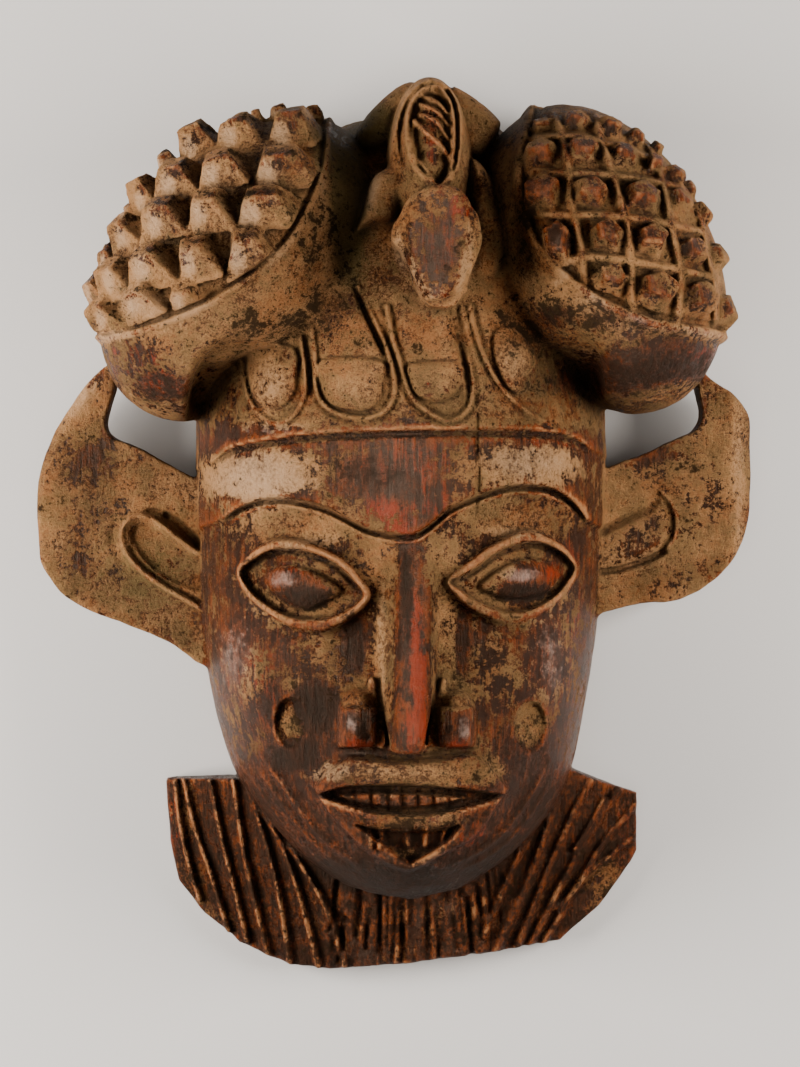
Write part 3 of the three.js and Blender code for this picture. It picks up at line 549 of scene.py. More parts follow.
# The hair buns. Two big rounded buns stand out from the head, plain underneath and edged with a lip. Each
# dome beyond the lip is cut into rows of studs that lean up and outward, given as x, y, width and depth:
# crisp blocks at the left, and rounder lumps at the right that sit in a net of thin ridges.
BUNS = [
    {
        "centre": [-70, 124.5, 66], "radii": [81, 55, 62], "turn": 49,
        "lift": [-0.30, 0.85, 0.20], "lean": 0.78,
        "rim": [
            [-27, 260], [-29, 203], [-29.5, 185.7], [-31.2, 165.2], [-41.8, 139.2], [-55.1, 122.3],
            [-79.7, 105.3], [-104.9, 94.8], [-129.5, 90.3], [-145.8, 93.9], [-180, 104], [-240, 118],
        ],
        "beyond": [-240, 260], "tilt": 0.36, "rise": 0.4, "lip": [0.2, 2.1, 1.8], "groove": [3.0, 0.8, 1.2],
        "rows": [
            [[-91.7, 105.8, 15.2, 11], [-111.7, 105, 18.1, 13], [-129.7, 99.8, 13, 13]],
            [[-63.7, 125.5, 20, 20], [-86.3, 123.8, 18.1, 20], [-107.3, 121.3, 20.9, 19],
             [-124.8, 117.4, 15.2, 18], [-138.7, 113.3, 8.7, 17]],
            [[-56.8, 145.5, 26.6, 18], [-81.4, 145.3, 19, 18], [-101.9, 142.5, 20.9, 18],
             [-120.5, 137.5, 13.3, 16], [-131.3, 128.2, 7.6, 15]],
            [[-49.3, 164.4, 27, 17], [-75.7, 163.7, 21.9, 18], [-96.4, 160.9, 20, 17],
             [-113, 155.7, 12.4, 15], [-121.9, 147.9, 6.5, 14]],
            [[-44.9, 183.5, 20.7, 18], [-69.6, 183.5, 19, 16], [-88.8, 180.5, 18.4, 16],
             [-105.1, 173, 11.8, 14]],
            [[-36, 193.5, 10.5, 9], [-51.7, 195.5, 11.4, 7], [-62, 195, 8.6, 7]],
        ],
        "corners": 4, "foot": 0.7071, "crown": 0.46, "tall": 10.5, "softness": 0, "spread": 1.14,
        "ridges": [], "seed": 4,
    },
    {
        "centre": [96, 129, 66], "radii": [76, 52, 62], "turn": 118,
        "lift": [0.30, 0.85, 0.25], "lean": 0.42,
        "rim": [
            [64, 260], [63, 208], [61.8, 198.1], [55.2, 170.5], [57.1, 144.7], [68.1, 122.9], [92.5, 103.3],
            [119.9, 93.4], [162.1, 90.6], [200, 92], [260, 96],
        ],
        "beyond": [260, 260], "tilt": 0.4, "rise": 0.8, "lip": [1.0, 2.7, 2.8], "groove": [5.2, 1.6, 2.0],
        "rows": [
            [[68.6, 185.9, 10.4, 7], [83.3, 187.5, 12.4, 10], [98.3, 184.5, 11.5, 10],
             [110.4, 180.8, 9.9, 9], [119.6, 176, 7, 9]],
            [[67.4, 171.8, 15.4, 11.7], [85.5, 173.2, 14.4, 12.4], [104.2, 171.6, 13.4, 11],
             [117.4, 167.8, 9.1, 11], [128, 164, 8, 11], [136, 159, 6, 10]],
            [[67.9, 153.4, 17, 15], [88.6, 153.6, 15.7, 13], [111.3, 151.6, 16.4, 13.6],
             [129.1, 151.3, 10.3, 12], [140.4, 147.3, 6.4, 12]],
            [[74.1, 131.9, 13.4, 19.2], [95.6, 134.4, 14.4, 12.6], [114.8, 132.4, 15.1, 14],
             [134.2, 128.2, 11.4, 12.4], [147.5, 128.1, 7.4, 12]],
            [[98, 115.4, 14.4, 12], [117.8, 110.5, 17.2, 15], [137.6, 107.4, 13, 15],
             [152.1, 104, 7.1, 13.6]],
        ],
        "corners": 5, "foot": 0.56, "crown": 0.60, "tall": 7.4, "softness": 1, "spread": 1.28,
        "ridges": [
            [[72.6, 196], [75.9, 182.3], [77.5, 173.3], [78.8, 163.1], [79, 151.5], [82.1, 136.9],
             [84.8, 121.1], [86.5, 108]],
            [[92.9, 194], [93.6, 180.5], [95.6, 173.4], [98.4, 162.3], [101.3, 151.5], [104.3, 140.1],
             [105.3, 132.1], [106, 121], [106.8, 108.4], [107.2, 98]],
            [[115, 188], [119.9, 170.1], [122, 157.8], [123.6, 149.4], [124.9, 137.8], [128.1, 125],
             [129.1, 115.4], [128.2, 102.7], [127.1, 92]],
            [[129, 178], [136, 162.9], [140, 151], [142, 138.6], [142.5, 129.6], [145.1, 120],
             [146.9, 110.6], [148.2, 94]],
            [[56, 180.5], [75.9, 180.9], [84.7, 180.8], [95.1, 177.9], [108.2, 174.9], [124, 168]],
            [[53, 166], [67.5, 163.7], [77.7, 162.4], [88, 162.4], [98.4, 161.8], [107.3, 160.8],
             [120.8, 159.8], [133.2, 158.3], [150, 156.7]],
            [[56, 146.5], [67.3, 144.2], [79, 143.4], [89.2, 143.5], [97.9, 142.6], [106.8, 142.1],
             [118.2, 140.9], [133.6, 138.8], [149.1, 137.4], [160, 134]],
            [[74, 122.5], [84.8, 124.5], [92.3, 124.1], [104.2, 122.8], [113.1, 121.4], [124.7, 120],
             [138.5, 118.1], [150, 117.2], [163, 114]],
        ],
        "seed": 9,
    },
]
CAP_FRONT = [
    [[-91.4, 40], [-91.4, 61.2], [-87.7, 66.8], [-81.6, 73.3], [-73.7, 79.8], [-66.8, 83.5], [-57.5, 85.9],
     [-51.4, 89.1], [-44.9, 92.8], [-38.9, 97.5], [-29.6, 100.3], [-20, 100], [-20, 40]],
    [[56, 40], [56, 91], [66.2, 89.1], [71.8, 87.3], [77.4, 84.5], [83, 80.3], [89, 74.2], [91.4, 66.8],
     [92.3, 58.4], [94.6, 44.5], [94, 40]],
]
BUN_BACK = 120
BUN_FILLET = 3.6
BUN_REACH = 100
STUD_SINK = 5.0
STUD_UNEVENNESS = 4.2
LEAN_SPREAD = 0.05
HEIGHT_SPREAD = 0.07
FULL_STUD_WIDTH = 13
FULL_STUD_DEPTH = 16
NARROWEST_VIEW = 0.36
CHIP_SCALE = 0.14
NET_HALF = 2.6
NET_HIGH = 3.4
CAP_SKIN = {"middle": 3.5, "half": 102, "level": 5, "height": 112}
RECEDE = {"middle": 2, "half": 102, "full": 90, "share": 0.28, "limit": 32}


def dome_point(bun, x, y):
    """Where a stud at x, y stands on the dome, and the way the dome faces there."""
    turn = math.radians(bun["turn"])
    dx, dy = x - bun["centre"][0], y - bun["centre"][1]
    u, v = dx * math.cos(turn) + dy * math.sin(turn), dy * math.cos(turn) - dx * math.sin(turn)
    a, b, c = np.add(bun["radii"], bun["rise"])
    hold = min(1.0, 0.97 / math.hypot(u / a, v / b))
    u, v = u * hold, v * hold
    rise = math.sqrt(1 - (u / a) ** 2 - (v / b) ** 2)
    nu, nv = u / a**2, v / b**2
    turned = Matrix.Rotation(turn, 3, "Z")
    point = turned @ Vector((u, v, c * rise))
    normal = turned @ Vector((nu, nv, rise / c))
    return point + Vector(bun["centre"]), normal.normalized()


def cut_stud_tree():
    """Stands one tapered, hand-cut stud on every point, with the point's own lean and girth."""
    tree = bpy.data.node_groups.new("cut_studs", "GeometryNodeTree")
    face = tree.interface
    face.new_socket("Geometry", in_out="INPUT", socket_type="NodeSocketGeometry")
    sockets = {}
    for name, kind in (
        ("Corners", "NodeSocketInt"), ("Foot", "NodeSocketFloat"), ("Crown", "NodeSocketFloat"),
        ("Softness", "NodeSocketInt"), ("Unevenness", "NodeSocketFloat"), ("Seed", "NodeSocketFloat"),
        ("Wood", "NodeSocketMaterial"),
    ):
        sockets[name] = face.new_socket(name, in_out="INPUT", socket_type=kind).identifier
    face.new_socket("Geometry", in_out="OUTPUT", socket_type="NodeSocketGeometry")
    nodes, links = tree.nodes, tree.links
    given = nodes.new("NodeGroupInput")
    result = nodes.new("NodeGroupOutput")
    cone = nodes.new("GeometryNodeMeshCone")
    cone.inputs["Depth"].default_value = 1.0
    links.new(given.outputs["Corners"], cone.inputs["Vertices"])
    links.new(given.outputs["Crown"], cone.inputs["Radius Top"])
    links.new(given.outputs["Foot"], cone.inputs["Radius Bottom"])
    squared = nodes.new("GeometryNodeTransform")
    squared.inputs["Rotation"].default_value = (0, 0, math.pi / 4)
    links.new(cone.outputs["Mesh"], squared.inputs["Geometry"])
    cut = nodes.new("GeometryNodeSubdivideMesh")
    cut.inputs["Level"].default_value = 2
    links.new(squared.outputs["Geometry"], cut.inputs["Mesh"])
    worn = nodes.new("GeometryNodeSubdivisionSurface")
    worn.inputs["Edge Crease"].default_value = 0.75
    links.new(cut.outputs["Mesh"], worn.inputs["Mesh"])
    links.new(given.outputs["Softness"], worn.inputs["Level"])
    own = {}
    for name in ("lean", "girth"):
        own[name] = nodes.new("GeometryNodeInputNamedAttribute")
        own[name].data_type = "FLOAT_VECTOR"
        own[name].inputs["Name"].default_value = name
    turned = nodes.new("FunctionNodeEulerToRotation")
    links.new(own["lean"].outputs["Attribute"], turned.inputs["Euler"])
    stand = nodes.new("GeometryNodeInstanceOnPoints")
    links.new(given.outputs["Geometry"], stand.inputs["Points"])
    links.new(worn.outputs["Mesh"], stand.inputs["Instance"])
    links.new(turned.outputs["Rotation"], stand.inputs["Rotation"])
    links.new(own["girth"].outputs["Attribute"], stand.inputs["Scale"])
    real = nodes.new("GeometryNodeRealizeInstances")
    links.new(stand.outputs["Instances"], real.inputs["Geometry"])
    chips = nodes.new("ShaderNodeTexNoise")
    chips.noise_dimensions = "4D"
    chips.inputs["Scale"].default_value = CHIP_SCALE
    links.new(given.outputs["Seed"], chips.inputs["W"])
    middle_of = nodes.new("ShaderNodeVectorMath")
    middle_of.operation = "SUBTRACT"
    middle_of.inputs[1].default_value = (0.5, 0.5, 0.5)
    links.new(chips.outputs["Color"], middle_of.inputs[0])
    amount = nodes.new("ShaderNodeVectorMath")
    amount.operation = "SCALE"
    links.new(middle_of.outputs["Vector"], amount.inputs[0])
    links.new(given.outputs["Unevenness"], amount.inputs["Scale"])
    uneven = nodes.new("GeometryNodeSetPosition")
    links.new(real.outputs["Geometry"], uneven.inputs["Geometry"])
    links.new(amount.outputs["Vector"], uneven.inputs["Offset"])
    paint = nodes.new("GeometryNodeSetMaterial")
    links.new(uneven.outputs["Geometry"], paint.inputs["Geometry"])
    links.new(given.outputs["Wood"], paint.inputs["Material"])
    links.new(paint.outputs["Geometry"], result.inputs["Geometry"])
    return tree, sockets


def in_block(points):
    """Places in millimetres as steps of the block's own grid."""
    from_corner = np.asarray(points, dtype=np.float32) - np.array(BLOCK_LOW, dtype=np.float32)
    return (from_corner / GRID_STEP).astype(np.float32)


def mesh_arrays(mesh):
    """A mesh's points and its triangles' corners."""
    points = np.empty(len(mesh.vertices) * 3, dtype=np.float32)
    mesh.vertices.foreach_get("co", points)
    mesh.calc_loop_triangles()
    corners = np.empty(len(mesh.loop_triangles) * 3, dtype=np.int32)
    mesh.loop_triangles.foreach_get("vertices", corners)
    return points.reshape(-1, 3), corners.reshape(-1, 3).astype(np.uint32)


def bump_at(value, middle, rise, half):
    """A round rise of this height and half width about the middle."""
    return rise * np.clip(1 - ((value - middle) / half) ** 2, 0, 1)


wood = bpy.data.materials.new("carved_hardwood")
stud_tree, stud_sockets = cut_stud_tree()
for bun, cap_front in zip(BUNS, CAP_FRONT):
    chance = np.random.default_rng(bun["seed"])
    base = egg(bun["centre"], bun["radii"], bun["turn"], BUN_BACK)
    feet, leans, girths = [], [], []
    for row in bun["rows"]:
        stands = [dome_point(bun, *stud[:2]) for stud in row]
        for k, ((point, normal), (_, _, stud_width, stud_depth)) in enumerate(zip(stands, row)):
            up = (normal * (1 - bun["lean"] / 2) + Vector(bun["lift"]) * bun["lean"]).normalized()
            up = (up + Vector(chance.normal(0, LEAN_SPREAD, 3))).normalized()
            side = stands[max(k - 1, 0)][0] - stands[min(k + 1, len(row) - 1)][0]
            side = (side - up * side.dot(up)).normalized()
            by_depth = 0.3 + 0.7 * stud_depth / FULL_STUD_DEPTH
            by_width = 0.2 + 0.8 * stud_width / FULL_STUD_WIDTH
            tall = bun["tall"] * min(1.0, by_depth, by_width)
            tall = tall * (1 + chance.normal(0, HEIGHT_SPREAD)) + STUD_SINK
            wide = stud_width / max(NARROWEST_VIEW, math.hypot(side.x, side.y)) * bun["spread"]
            deep = stud_depth * bun["spread"]
            feet.append(point - up * STUD_SINK)
            leans.append(Matrix((side, up.cross(side), up)).transposed().to_euler())
            girths.append((wide, deep, tall))
    cloud = bpy.data.meshes.new("stud_places")
    cloud.from_pydata(feet, [], [])
    for name, values in (("lean", leans), ("girth", girths)):
        layer = cloud.attributes.new(name, "FLOAT_VECTOR", "POINT")
        layer.data.foreach_set("vector", np.ravel(values).astype(np.float32))
    places_object = bpy.data.objects.new("stud_places", cloud)
    bpy.context.scene.collection.objects.link(places_object)
    made = places_object.modifiers.new("cut_studs", "NODES")
    made.node_group = stud_tree
    for name, value in (
        ("Corners", bun["corners"]), ("Foot", bun["foot"]), ("Crown", bun["foot"] * bun["crown"]),
        ("Softness", bun["softness"]), ("Unevenness", STUD_UNEVENNESS), ("Seed", float(bun["seed"])),
        ("Wood", wood),
    ):
        made[stud_sockets[name]] = value
    worked = places_object.evaluated_get(bpy.context.evaluated_depsgraph_get())
    studs = bpy.data.meshes.new_from_object(worked)
    places_object.modifiers.clear()
    bpy.data.objects.remove(places_object)
    points, corners = mesh_arrays(studs)

    part = box_part(np.subtract(bun["centre"], BUN_REACH), np.add(bun["centre"], BUN_REACH))
    x, y, z = places(part)
    flat_x, flat_y = plan_x[part[:2]], plan_y[part[:2]]
    rim = curve_through(bun["rim"], 4)
    turn = math.radians(bun["turn"])
    u = (flat_x - bun["centre"][0]) * math.cos(turn) + (flat_y - bun["centre"][1]) * math.sin(turn)
    v = (flat_y - bun["centre"][1]) * math.cos(turn) - (flat_x - bun["centre"][0]) * math.sin(turn)
    front = bun["centre"][2] + bun["radii"][2] * np.sqrt(
        np.clip(1 - (u / bun["radii"][0]) ** 2 - (v / bun["radii"][1]) ** 2, 0, 1)
    )
    # The rim and the corner beyond it enclose the studded dome, and the rim leans back as it goes deeper.
    past_rim = -off_outline(np.vstack([rim, [bun["beyond"]]]), flat_x, flat_y)[:, :, None]
    past_rim = past_rim * 0.92 + bun["tilt"] * np.minimum(z - front[:, :, None], 0)
    height = bun["rise"] * eased(-0.8, 1.4, past_rim)
    height = height + bump_at(past_rim, *bun["lip"])
    height = height - bump_at(past_rim, *bun["groove"])
    net = np.full(flat_x.shape, 99.0)
    for ridge in bun["ridges"]:
        net = np.minimum(net, off_line(curve_through(ridge, 3), flat_x, flat_y)[0])
    open_front = eased(0.22, 0.55, (front - bun["centre"][2]) / bun["radii"][2])
    ridges = NET_HIGH * open_front * np.clip(1 - (net / NET_HALF) ** 2, 0, 1)
    height = height + ridges[:, :, None] * eased(2, 7, past_rim)
    body = (base(x, y, z) - height).astype(np.float32)
    grid = openvdb.FloatGrid.createLevelSetFromPolygons(
        points=in_block(points), triangles=corners, halfWidth=5.0
    )
    cut_studs = np.empty(body.shape, dtype=np.float32)
    grid.copyToArray(cut_studs, ijk=tuple(s.start for s in part))
    cut_studs = common(cut_studs * GRID_STEP, 2.6 - past_rim, 1.0)
    body = joined(body, cut_studs, 0.8)
    # In front the bun ends over the cap, where its lower face slopes back to the cap's own skin.
    before_cap = -off_outline(cap_front, flat_x, flat_y)[:, :, None]
    from_middle = np.abs(x - CAP_SKIN["middle"]) / CAP_SKIN["half"]
    cap_round = np.clip(1 - from_middle**HEAD_SQUARENESS, 0, 1) ** (1 / HEAD_SQUARENESS)
    past_cap = np.clip(z - (CAP_SKIN["level"] + CAP_SKIN["height"] * cap_round), 0, RECEDE["limit"])
    recede = RECEDE["share"] * past_cap * eased(RECEDE["half"], RECEDE["full"], np.abs(x - RECEDE["middle"]))
    body = common(body, 0.95 * before_cap + recede, 5.0)
    field[part] = joined(field[part], body, BUN_FILLET)

# The lizard. It lies head down between the buns: a flat arrow of a head, an oval back panel cut with veins
# like a leaf, and four heavy bent legs that run into the hair.
LIZARD_HEAD = [
    [22.6, 156.2], [27.9, 154.6], [32.4, 151.3], [35, 146.6], [37.5, 143.1], [38.7, 137.2], [39.3, 131.3],
    [37.5, 124.8], [35, 118.4], [32.4, 112.3], [27.9, 107.8], [23.2, 106.1], [17.3, 104.9], [13.2, 106.3],
    [10.3, 113.1], [7.3, 119.6], [4.4, 124.8], [2.3, 129.5], [-0.3, 131.3], [-1, 135.4], [0.3, 139.8],
    [3, 143.6], [5.6, 148.3], [10.3, 152.5], [16.7, 155.2],
]
HEAD_TOP_FACE = [
    [22.5, 154.9], [27.8, 152.8], [31.3, 148.1], [32.4, 142.3], [33.3, 136.5], [32.2, 130.6], [30.4, 124.8],
    [29.3, 118.9], [27.8, 111.9], [23.1, 108.2], [16.7, 107.7], [13.6, 113.1], [10.3, 120.1], [8, 127.1],
    [7.4, 134.1], [8, 141.1], [11.2, 148.1], [16.7, 153.4],
]
LIZARD_JAW = [
    [9, 114], [13.2, 106], [16.9, 102.9], [23.4, 101.4], [28.1, 103.4], [33.2, 110], [34, 128], [8, 128],
]
LIZARD_TOP = 137.5
LIZARD_LOW = 90
CHEEK_FALL = 1.0
LIZARD_BOX = [[-34, 92, 40], [70, 216, 143]]
LIZARD_EYE = {"centre": [3.4, 134.6, 131.8], "radii": [2.1, 4.2, 3.0], "ring": [3.4, 5.6], "ring_rise": 0.9}
PANEL_DEPTH = 4.2
LIZARD_BODY = {"centre": [16.5, 170, 88], "radii": [19.5, 41, 43.5]}
LEGS = [
    {"top": 105, "crown": 11, "width": 9, "outline": [
        [-4.5, 166.2], [0.3, 168.2], [4.5, 167.2], [7.8, 161.7], [7.4, 153.5], [3.4, 147.6], [1.1, 143.8],
        [-2.7, 142], [-8.7, 140.8], [-14.6, 138.4], [-17.6, 137.8], [-15.6, 144.4], [-12.5, 152.7],
        [-10.8, 159.3], [-8.1, 164]]},
    {"top": 98, "crown": 12, "width": 9, "outline": [
        [35.6, 172.6], [40.1, 170.3], [44.5, 164.3], [47.4, 156], [50, 145.4], [51.6, 137.1], [51.2, 127.5],
        [48.4, 120.3], [45, 115.6], [40.3, 114.4], [36.1, 113.2], [31.1, 116], [31.9, 127.5], [32.7, 137.1],
        [32.9, 145.4], [32.5, 151.4], [33.7, 159.7], [33.5, 168.1]]},
    {"top": 80, "crown": 12, "width": 10, "outline": [
        [8.7, 210.4], [12, 209], [14, 204], [8.7, 197], [4.4, 190], [1, 183], [-6.9, 180.4], [-15, 181],
        [-17.4, 187], [-13.7, 193.5], [-8.9, 199], [-2.2, 205], [3.8, 209.2]]},
    {"top": 86, "crown": 11, "width": 9, "outline": [
        [27, 207], [33.5, 204.4], [40.7, 199.3], [46.7, 193.9], [49.4, 189.9], [46.5, 184], [41.1, 175.7],
        [35.5, 173.9], [29.2, 177.6], [26, 188.2], [25, 197.9]]},
]
PANEL = [
    [17.4, 202.5], [12.1, 199.4], [8.5, 194.4], [7, 186.2], [7, 176.7], [8.5, 168.5], [11.5, 163.2],
    [16.2, 158.8], [20, 156.9], [23.5, 159.6], [25.4, 163.8], [26.2, 172], [26.6, 180.3], [26.2, 189.7],
    [24.7, 196.8], [21.9, 200.9],
]
BODY_RIDGES = [
    [[16.8, 206.5], [22.7, 204.5], [27.2, 200], [29.6, 193], [30.4, 183.5], [29.9, 174.1], [28.6, 165.9],
     [25.6, 159]],
    [[16.8, 206.5], [11.5, 203], [6.2, 197.1], [2.6, 190], [0.3, 181.7], [-0.3, 172.3], [1.2, 165.2]],
]
BODY_CUTS = [
    [[14, 203.8], [9.4, 200], [5.4, 193], [3.7, 184], [3.6, 175], [5.2, 166]],
    [[23.8, 202], [27.2, 195], [28.3, 185], [28, 174], [26.6, 164.4]],
    [[36.4, 171], [35.4, 163], [34.4, 156]],
]
VEINS = [
    [[11.5, 198.5], [16.8, 196.9], [22.1, 192.8], [26.6, 186.3]],
    [[11.5, 194.6], [18, 191.2], [23.3, 186.5], [26.6, 180.5]],
    [[12, 189.2], [18.8, 185.9], [23.3, 180], [26.6, 174.8]],
    [[9.6, 186], [15.4, 179.5], [21.5, 174.4], [26, 168]],
    [[14, 201.4], [19.4, 200.2], [24.3, 197]],
    [[8, 170], [12.7, 165.5], [17.8, 158.9]],
    [[9.4, 187], [8.6, 178.2], [9.6, 170]],
]

back_relief = np.zeros_like(plan_x)
panel_curve = curve_through(PANEL, 5, closed=True)
part = window(panel_curve, 4)
back_relief[part] -= PANEL_DEPTH * eased(0.6, -1.6, off_outline(panel_curve, plan_x[part], plan_y[part]))
score(np.vstack([panel_curve, panel_curve[:1]]), width=3.4, deep=-1.2, smooth=False, into=back_relief)
for line in BODY_CUTS:
    score(line, width=3.0, deep=1.6, into=back_relief)
for line in BODY_RIDGES:
    score(line, width=3.2, deep=-1.3, into=back_relief)
for line in VEINS:
    score(line, width=2.8, deep=-2.6, into=back_relief)

part = box_part(*LIZARD_BOX)
x, y, z = places(part)
flat_x, flat_y = plan_x[part[:2]], plan_y[part[:2]]
body = egg(LIZARD_BODY["centre"], LIZARD_BODY["radii"])(x, y, z) - back_relief[part[:2]][:, :, None]
for limb in LEGS:
    edge = off_outline(curve_through(limb["outline"], 4, closed=True), flat_x, flat_y)
    inward = 1 - np.clip(-edge / limb["width"], 0, 1)
    over = limb["top"] + limb["crown"] * np.sqrt(1 - inward**2)
    leg = common(edge[:, :, None] * 0.9, (z - over[:, :, None]) * 0.7, 2.5)
    body = joined(body, leg, 1.4)
head_side = off_outline(curve_through(LIZARD_HEAD, 3, closed=True), flat_x, flat_y)[:, :, None]
top_face = off_outline(HEAD_TOP_FACE, flat_x, flat_y)[:, :, None]
head = common(head_side, (z - LIZARD_TOP + CHEEK_FALL * np.clip(top_face, 0, 20)) * 0.85, 1.0)
jaw_side = off_outline(LIZARD_JAW, flat_x, flat_y)[:, :, None]
head = joined(head, common(jaw_side, z - LIZARD_TOP + 11, 1.6), 0.8)
head = common(head, LIZARD_LOW - z, 2.0)
eye_x, eye_y, _ = LIZARD_EYE["centre"]
eye_ring = np.hypot((flat_x - eye_x) / LIZARD_EYE["ring"][0], (flat_y - eye_y) / LIZARD_EYE["ring"][1])
eye_ring = np.abs(eye_ring - 1.0)[:, :, None]
head = head - LIZARD_EYE["ring_rise"] * np.clip(1 - eye_ring / 0.24, 0, 1)
body = joined(body, head, 1.0)
body = joined(body, egg(LIZARD_EYE["centre"], LIZARD_EYE["radii"])(x, y, z), 0.6)
field[part] = joined(field[part], body, 2.0)

# The ears. Each is a thick flat plate left standing at the side of the head, with a window cut through its
# upper part and a raised loop for the inner ear. A line is its points, its width and its depth.
EARS = [
    {
        "outline": [
            [-122, 88], [-137, 82], [-147, 73], [-154.5, 63], [-161, 54], [-167, 41], [-171, 26],
            [-171.8, 8], [-170.3, -8], [-165.5, -19], [-157, -29], [-142, -37.5], [-128, -43],
            [-116, -47.5], [-104, -53], [-90, -63], [-66, -60], [-66, 88],
        ],
        "window": [
            [-134, 70], [-136.5, 62], [-138.5, 54], [-135.5, 48], [-127, 44], [-112, 36], [-101, 30],
            [-91, 26.5], [-86, 30], [-86, 76], [-110, 90], [-130, 88],
        ],
        "lines": [
            ([[-108.8, 9.6], [-104.3, 6.6], [-98.5, 1.4], [-94, -3.6]], 5.2, 2.8),
            ([[-117.6, 12.2], [-113, 11.8], [-108.8, 9.6]], 3.4, 1.4),
            ([[-133.6, 7], [-135.4, -1], [-132, -10.5], [-126, -18.5]], 5.0, 0.7),
            ([[-93, -34.4], [-104.3, -28], [-115, -21.4], [-123.2, -14.6], [-128.4, -7.4], [-130.4, -0.4],
              [-128.6, 5.8], [-124, 9.2], [-118.6, 9.8], [-112, 6.4], [-105.6, 1.2], [-99, -4.4],
              [-93, -8.8]], 3.4, -1.6),
            ([[-93, -31.2], [-104.3, -25], [-113.6, -19.2], [-121.4, -12.5], [-126, -5.4]], 2.2, 1.5),
            ([[-159.1, -8.5], [-149.8, -8.8], [-140.4, -5.5], [-133.5, -0.3]], 2.2, 0.45),
            ([[-154.4, -19], [-143.9, -17.8], [-134.6, -14.9], [-129.4, -11.4]], 2.2, 0.45),
            ([[-152.1, -24.8], [-139.3, -23.6], [-130, -19.5]], 2.2, 0.4),
        ],
        "pads": [
            ([[-88, -39], [-104.3, -30], [-116, -23], [-124.1, -16], [-129.4, -9], [-132.1, -1.5],
              [-130.9, 5.5], [-126.5, 9.8], [-121.2, 11], [-114.8, 9], [-107.8, 4.4], [-102, -0.3],
              [-88, -9]], 3.2),
            ([[-88, -28], [-104.3, -23.4], [-113.6, -17.5], [-120.4, -10.5], [-125.4, -3.4], [-126.4, 1.4],
              [-124.3, 5], [-120.2, 6.4], [-116, 5], [-109, 0], [-103, -5], [-88, -14]], -2.6),
        ],
        "slopes": [
            ([[-137, 84], [-145.8, 73.8], [-148.7, 63.3], [-156.9, 52.8], [-164.5, 40], [-167.4, 28.3],
              [-169, 8], [-168, -10]], 0.9),
        ],
    },
    {
        "outline": [
            [130, 88], [146, 80], [157, 72.5], [164, 67.5], [170, 60], [172.2, 50], [172.2, 14], [169, 0],
            [163.5, -10.5], [153, -21.5], [138, -30.5], [119, -32.5], [101, -37], [72, -40], [72, 88],
        ],
        "window": [
            [92, 80], [94, 60], [93.5, 28.5], [103, 32.5], [119, 39], [136, 46.5], [144.5, 50.5], [148, 57],
            [146.5, 66], [142, 80], [120, 92],
        ],
        "lines": [
            ([[96, -17.6], [105.8, -16.6], [113.3, -14.4], [121.9, -11.6], [129, -7.6]], 4.4, 3.0),
            ([[100.5, 3.4], [110.1, 8.4], [119.8, 12.8], [126.2, 16]], 3.6, 1.6),
            ([[128.3, 20.8], [132.5, 16.5], [135.1, 10.2], [135.6, 4.8], [134.3, -1.5], [131, -6]],
              2.8, -1.5),
            ([[131.2, 14.5], [133.2, 9.6], [133.6, 4], [132.2, -1.8]], 2.4, 0.5),
        ],
        "pads": [
            ([[92, -4], [100.5, 0.5], [110.1, 5.4], [119.8, 9.6], [126.2, 12.9], [129.4, 12.1], [131.5, 9.1],
              [131.8, 3.7], [130.3, -1.1], [127.3, -4.6], [120.8, -8.3], [113.3, -11.3], [105.8, -13.9],
              [92, -16.5]], 2.0),
        ],
        "slopes": [
            ([[158, 84], [158.9, 72.9], [162.6, 64.8], [162.8, 56.3], [161.8, 43.4], [162.6, 24.1],
              [164.2, 11.3], [164.8, 0.5], [161, -12]], 1.0),
        ],
    },
]
EAR_BACK = 12
EAR_FRONT = 31.5
EAR_ROUNDING = 1.4
for ear in EARS:
    outline = curve_through(ear["outline"], 3, closed=True)
    low, high = outline.min(axis=0), outline.max(axis=0)
    part = box_part((low[0] - 3, low[1] - 3, EAR_BACK - 4), (high[0] + 3, high[1] + 3, EAR_FRONT + 8))
    x, y, z = places(part)
    flat_x, flat_y = plan_x[part[:2]], plan_y[part[:2]]
    ear_relief = np.zeros_like(plan_x)
    for pad, rise in ear["pads"]:
        pad_part = window(pad, 3)
        ear_relief[pad_part] += rise * eased(1.2, -1.6, off_outline(pad, plan_x[pad_part], plan_y[pad_part]))
    for line, width, deep in ear["lines"]:
        score(line, width, deep, into=ear_relief)
    for edge, fall in ear["slopes"]:
        outside = edge + [[edge[-1][0] * 1.4, edge[-1][1]], [edge[0][0] * 1.4, edge[0][1]]]
        strip = off_outline(outside, plan_x, plan_y)
        ear_relief -= fall * np.clip(-strip, 0, 30)
    plate = off_outline(outline, flat_x, flat_y)
    gap = off_outline(curve_through(ear["window"], 3, closed=True), flat_x, flat_y)
    plate = carved(plate, gap, 1.5)[:, :, None]
    plate = common(plate, z - EAR_FRONT - ear_relief[part[:2]][:, :, None], EAR_ROUNDING)
    plate = common(plate, EAR_BACK - z, EAR_ROUNDING)
    field[part] = joined(field[part], plate, 2.0)

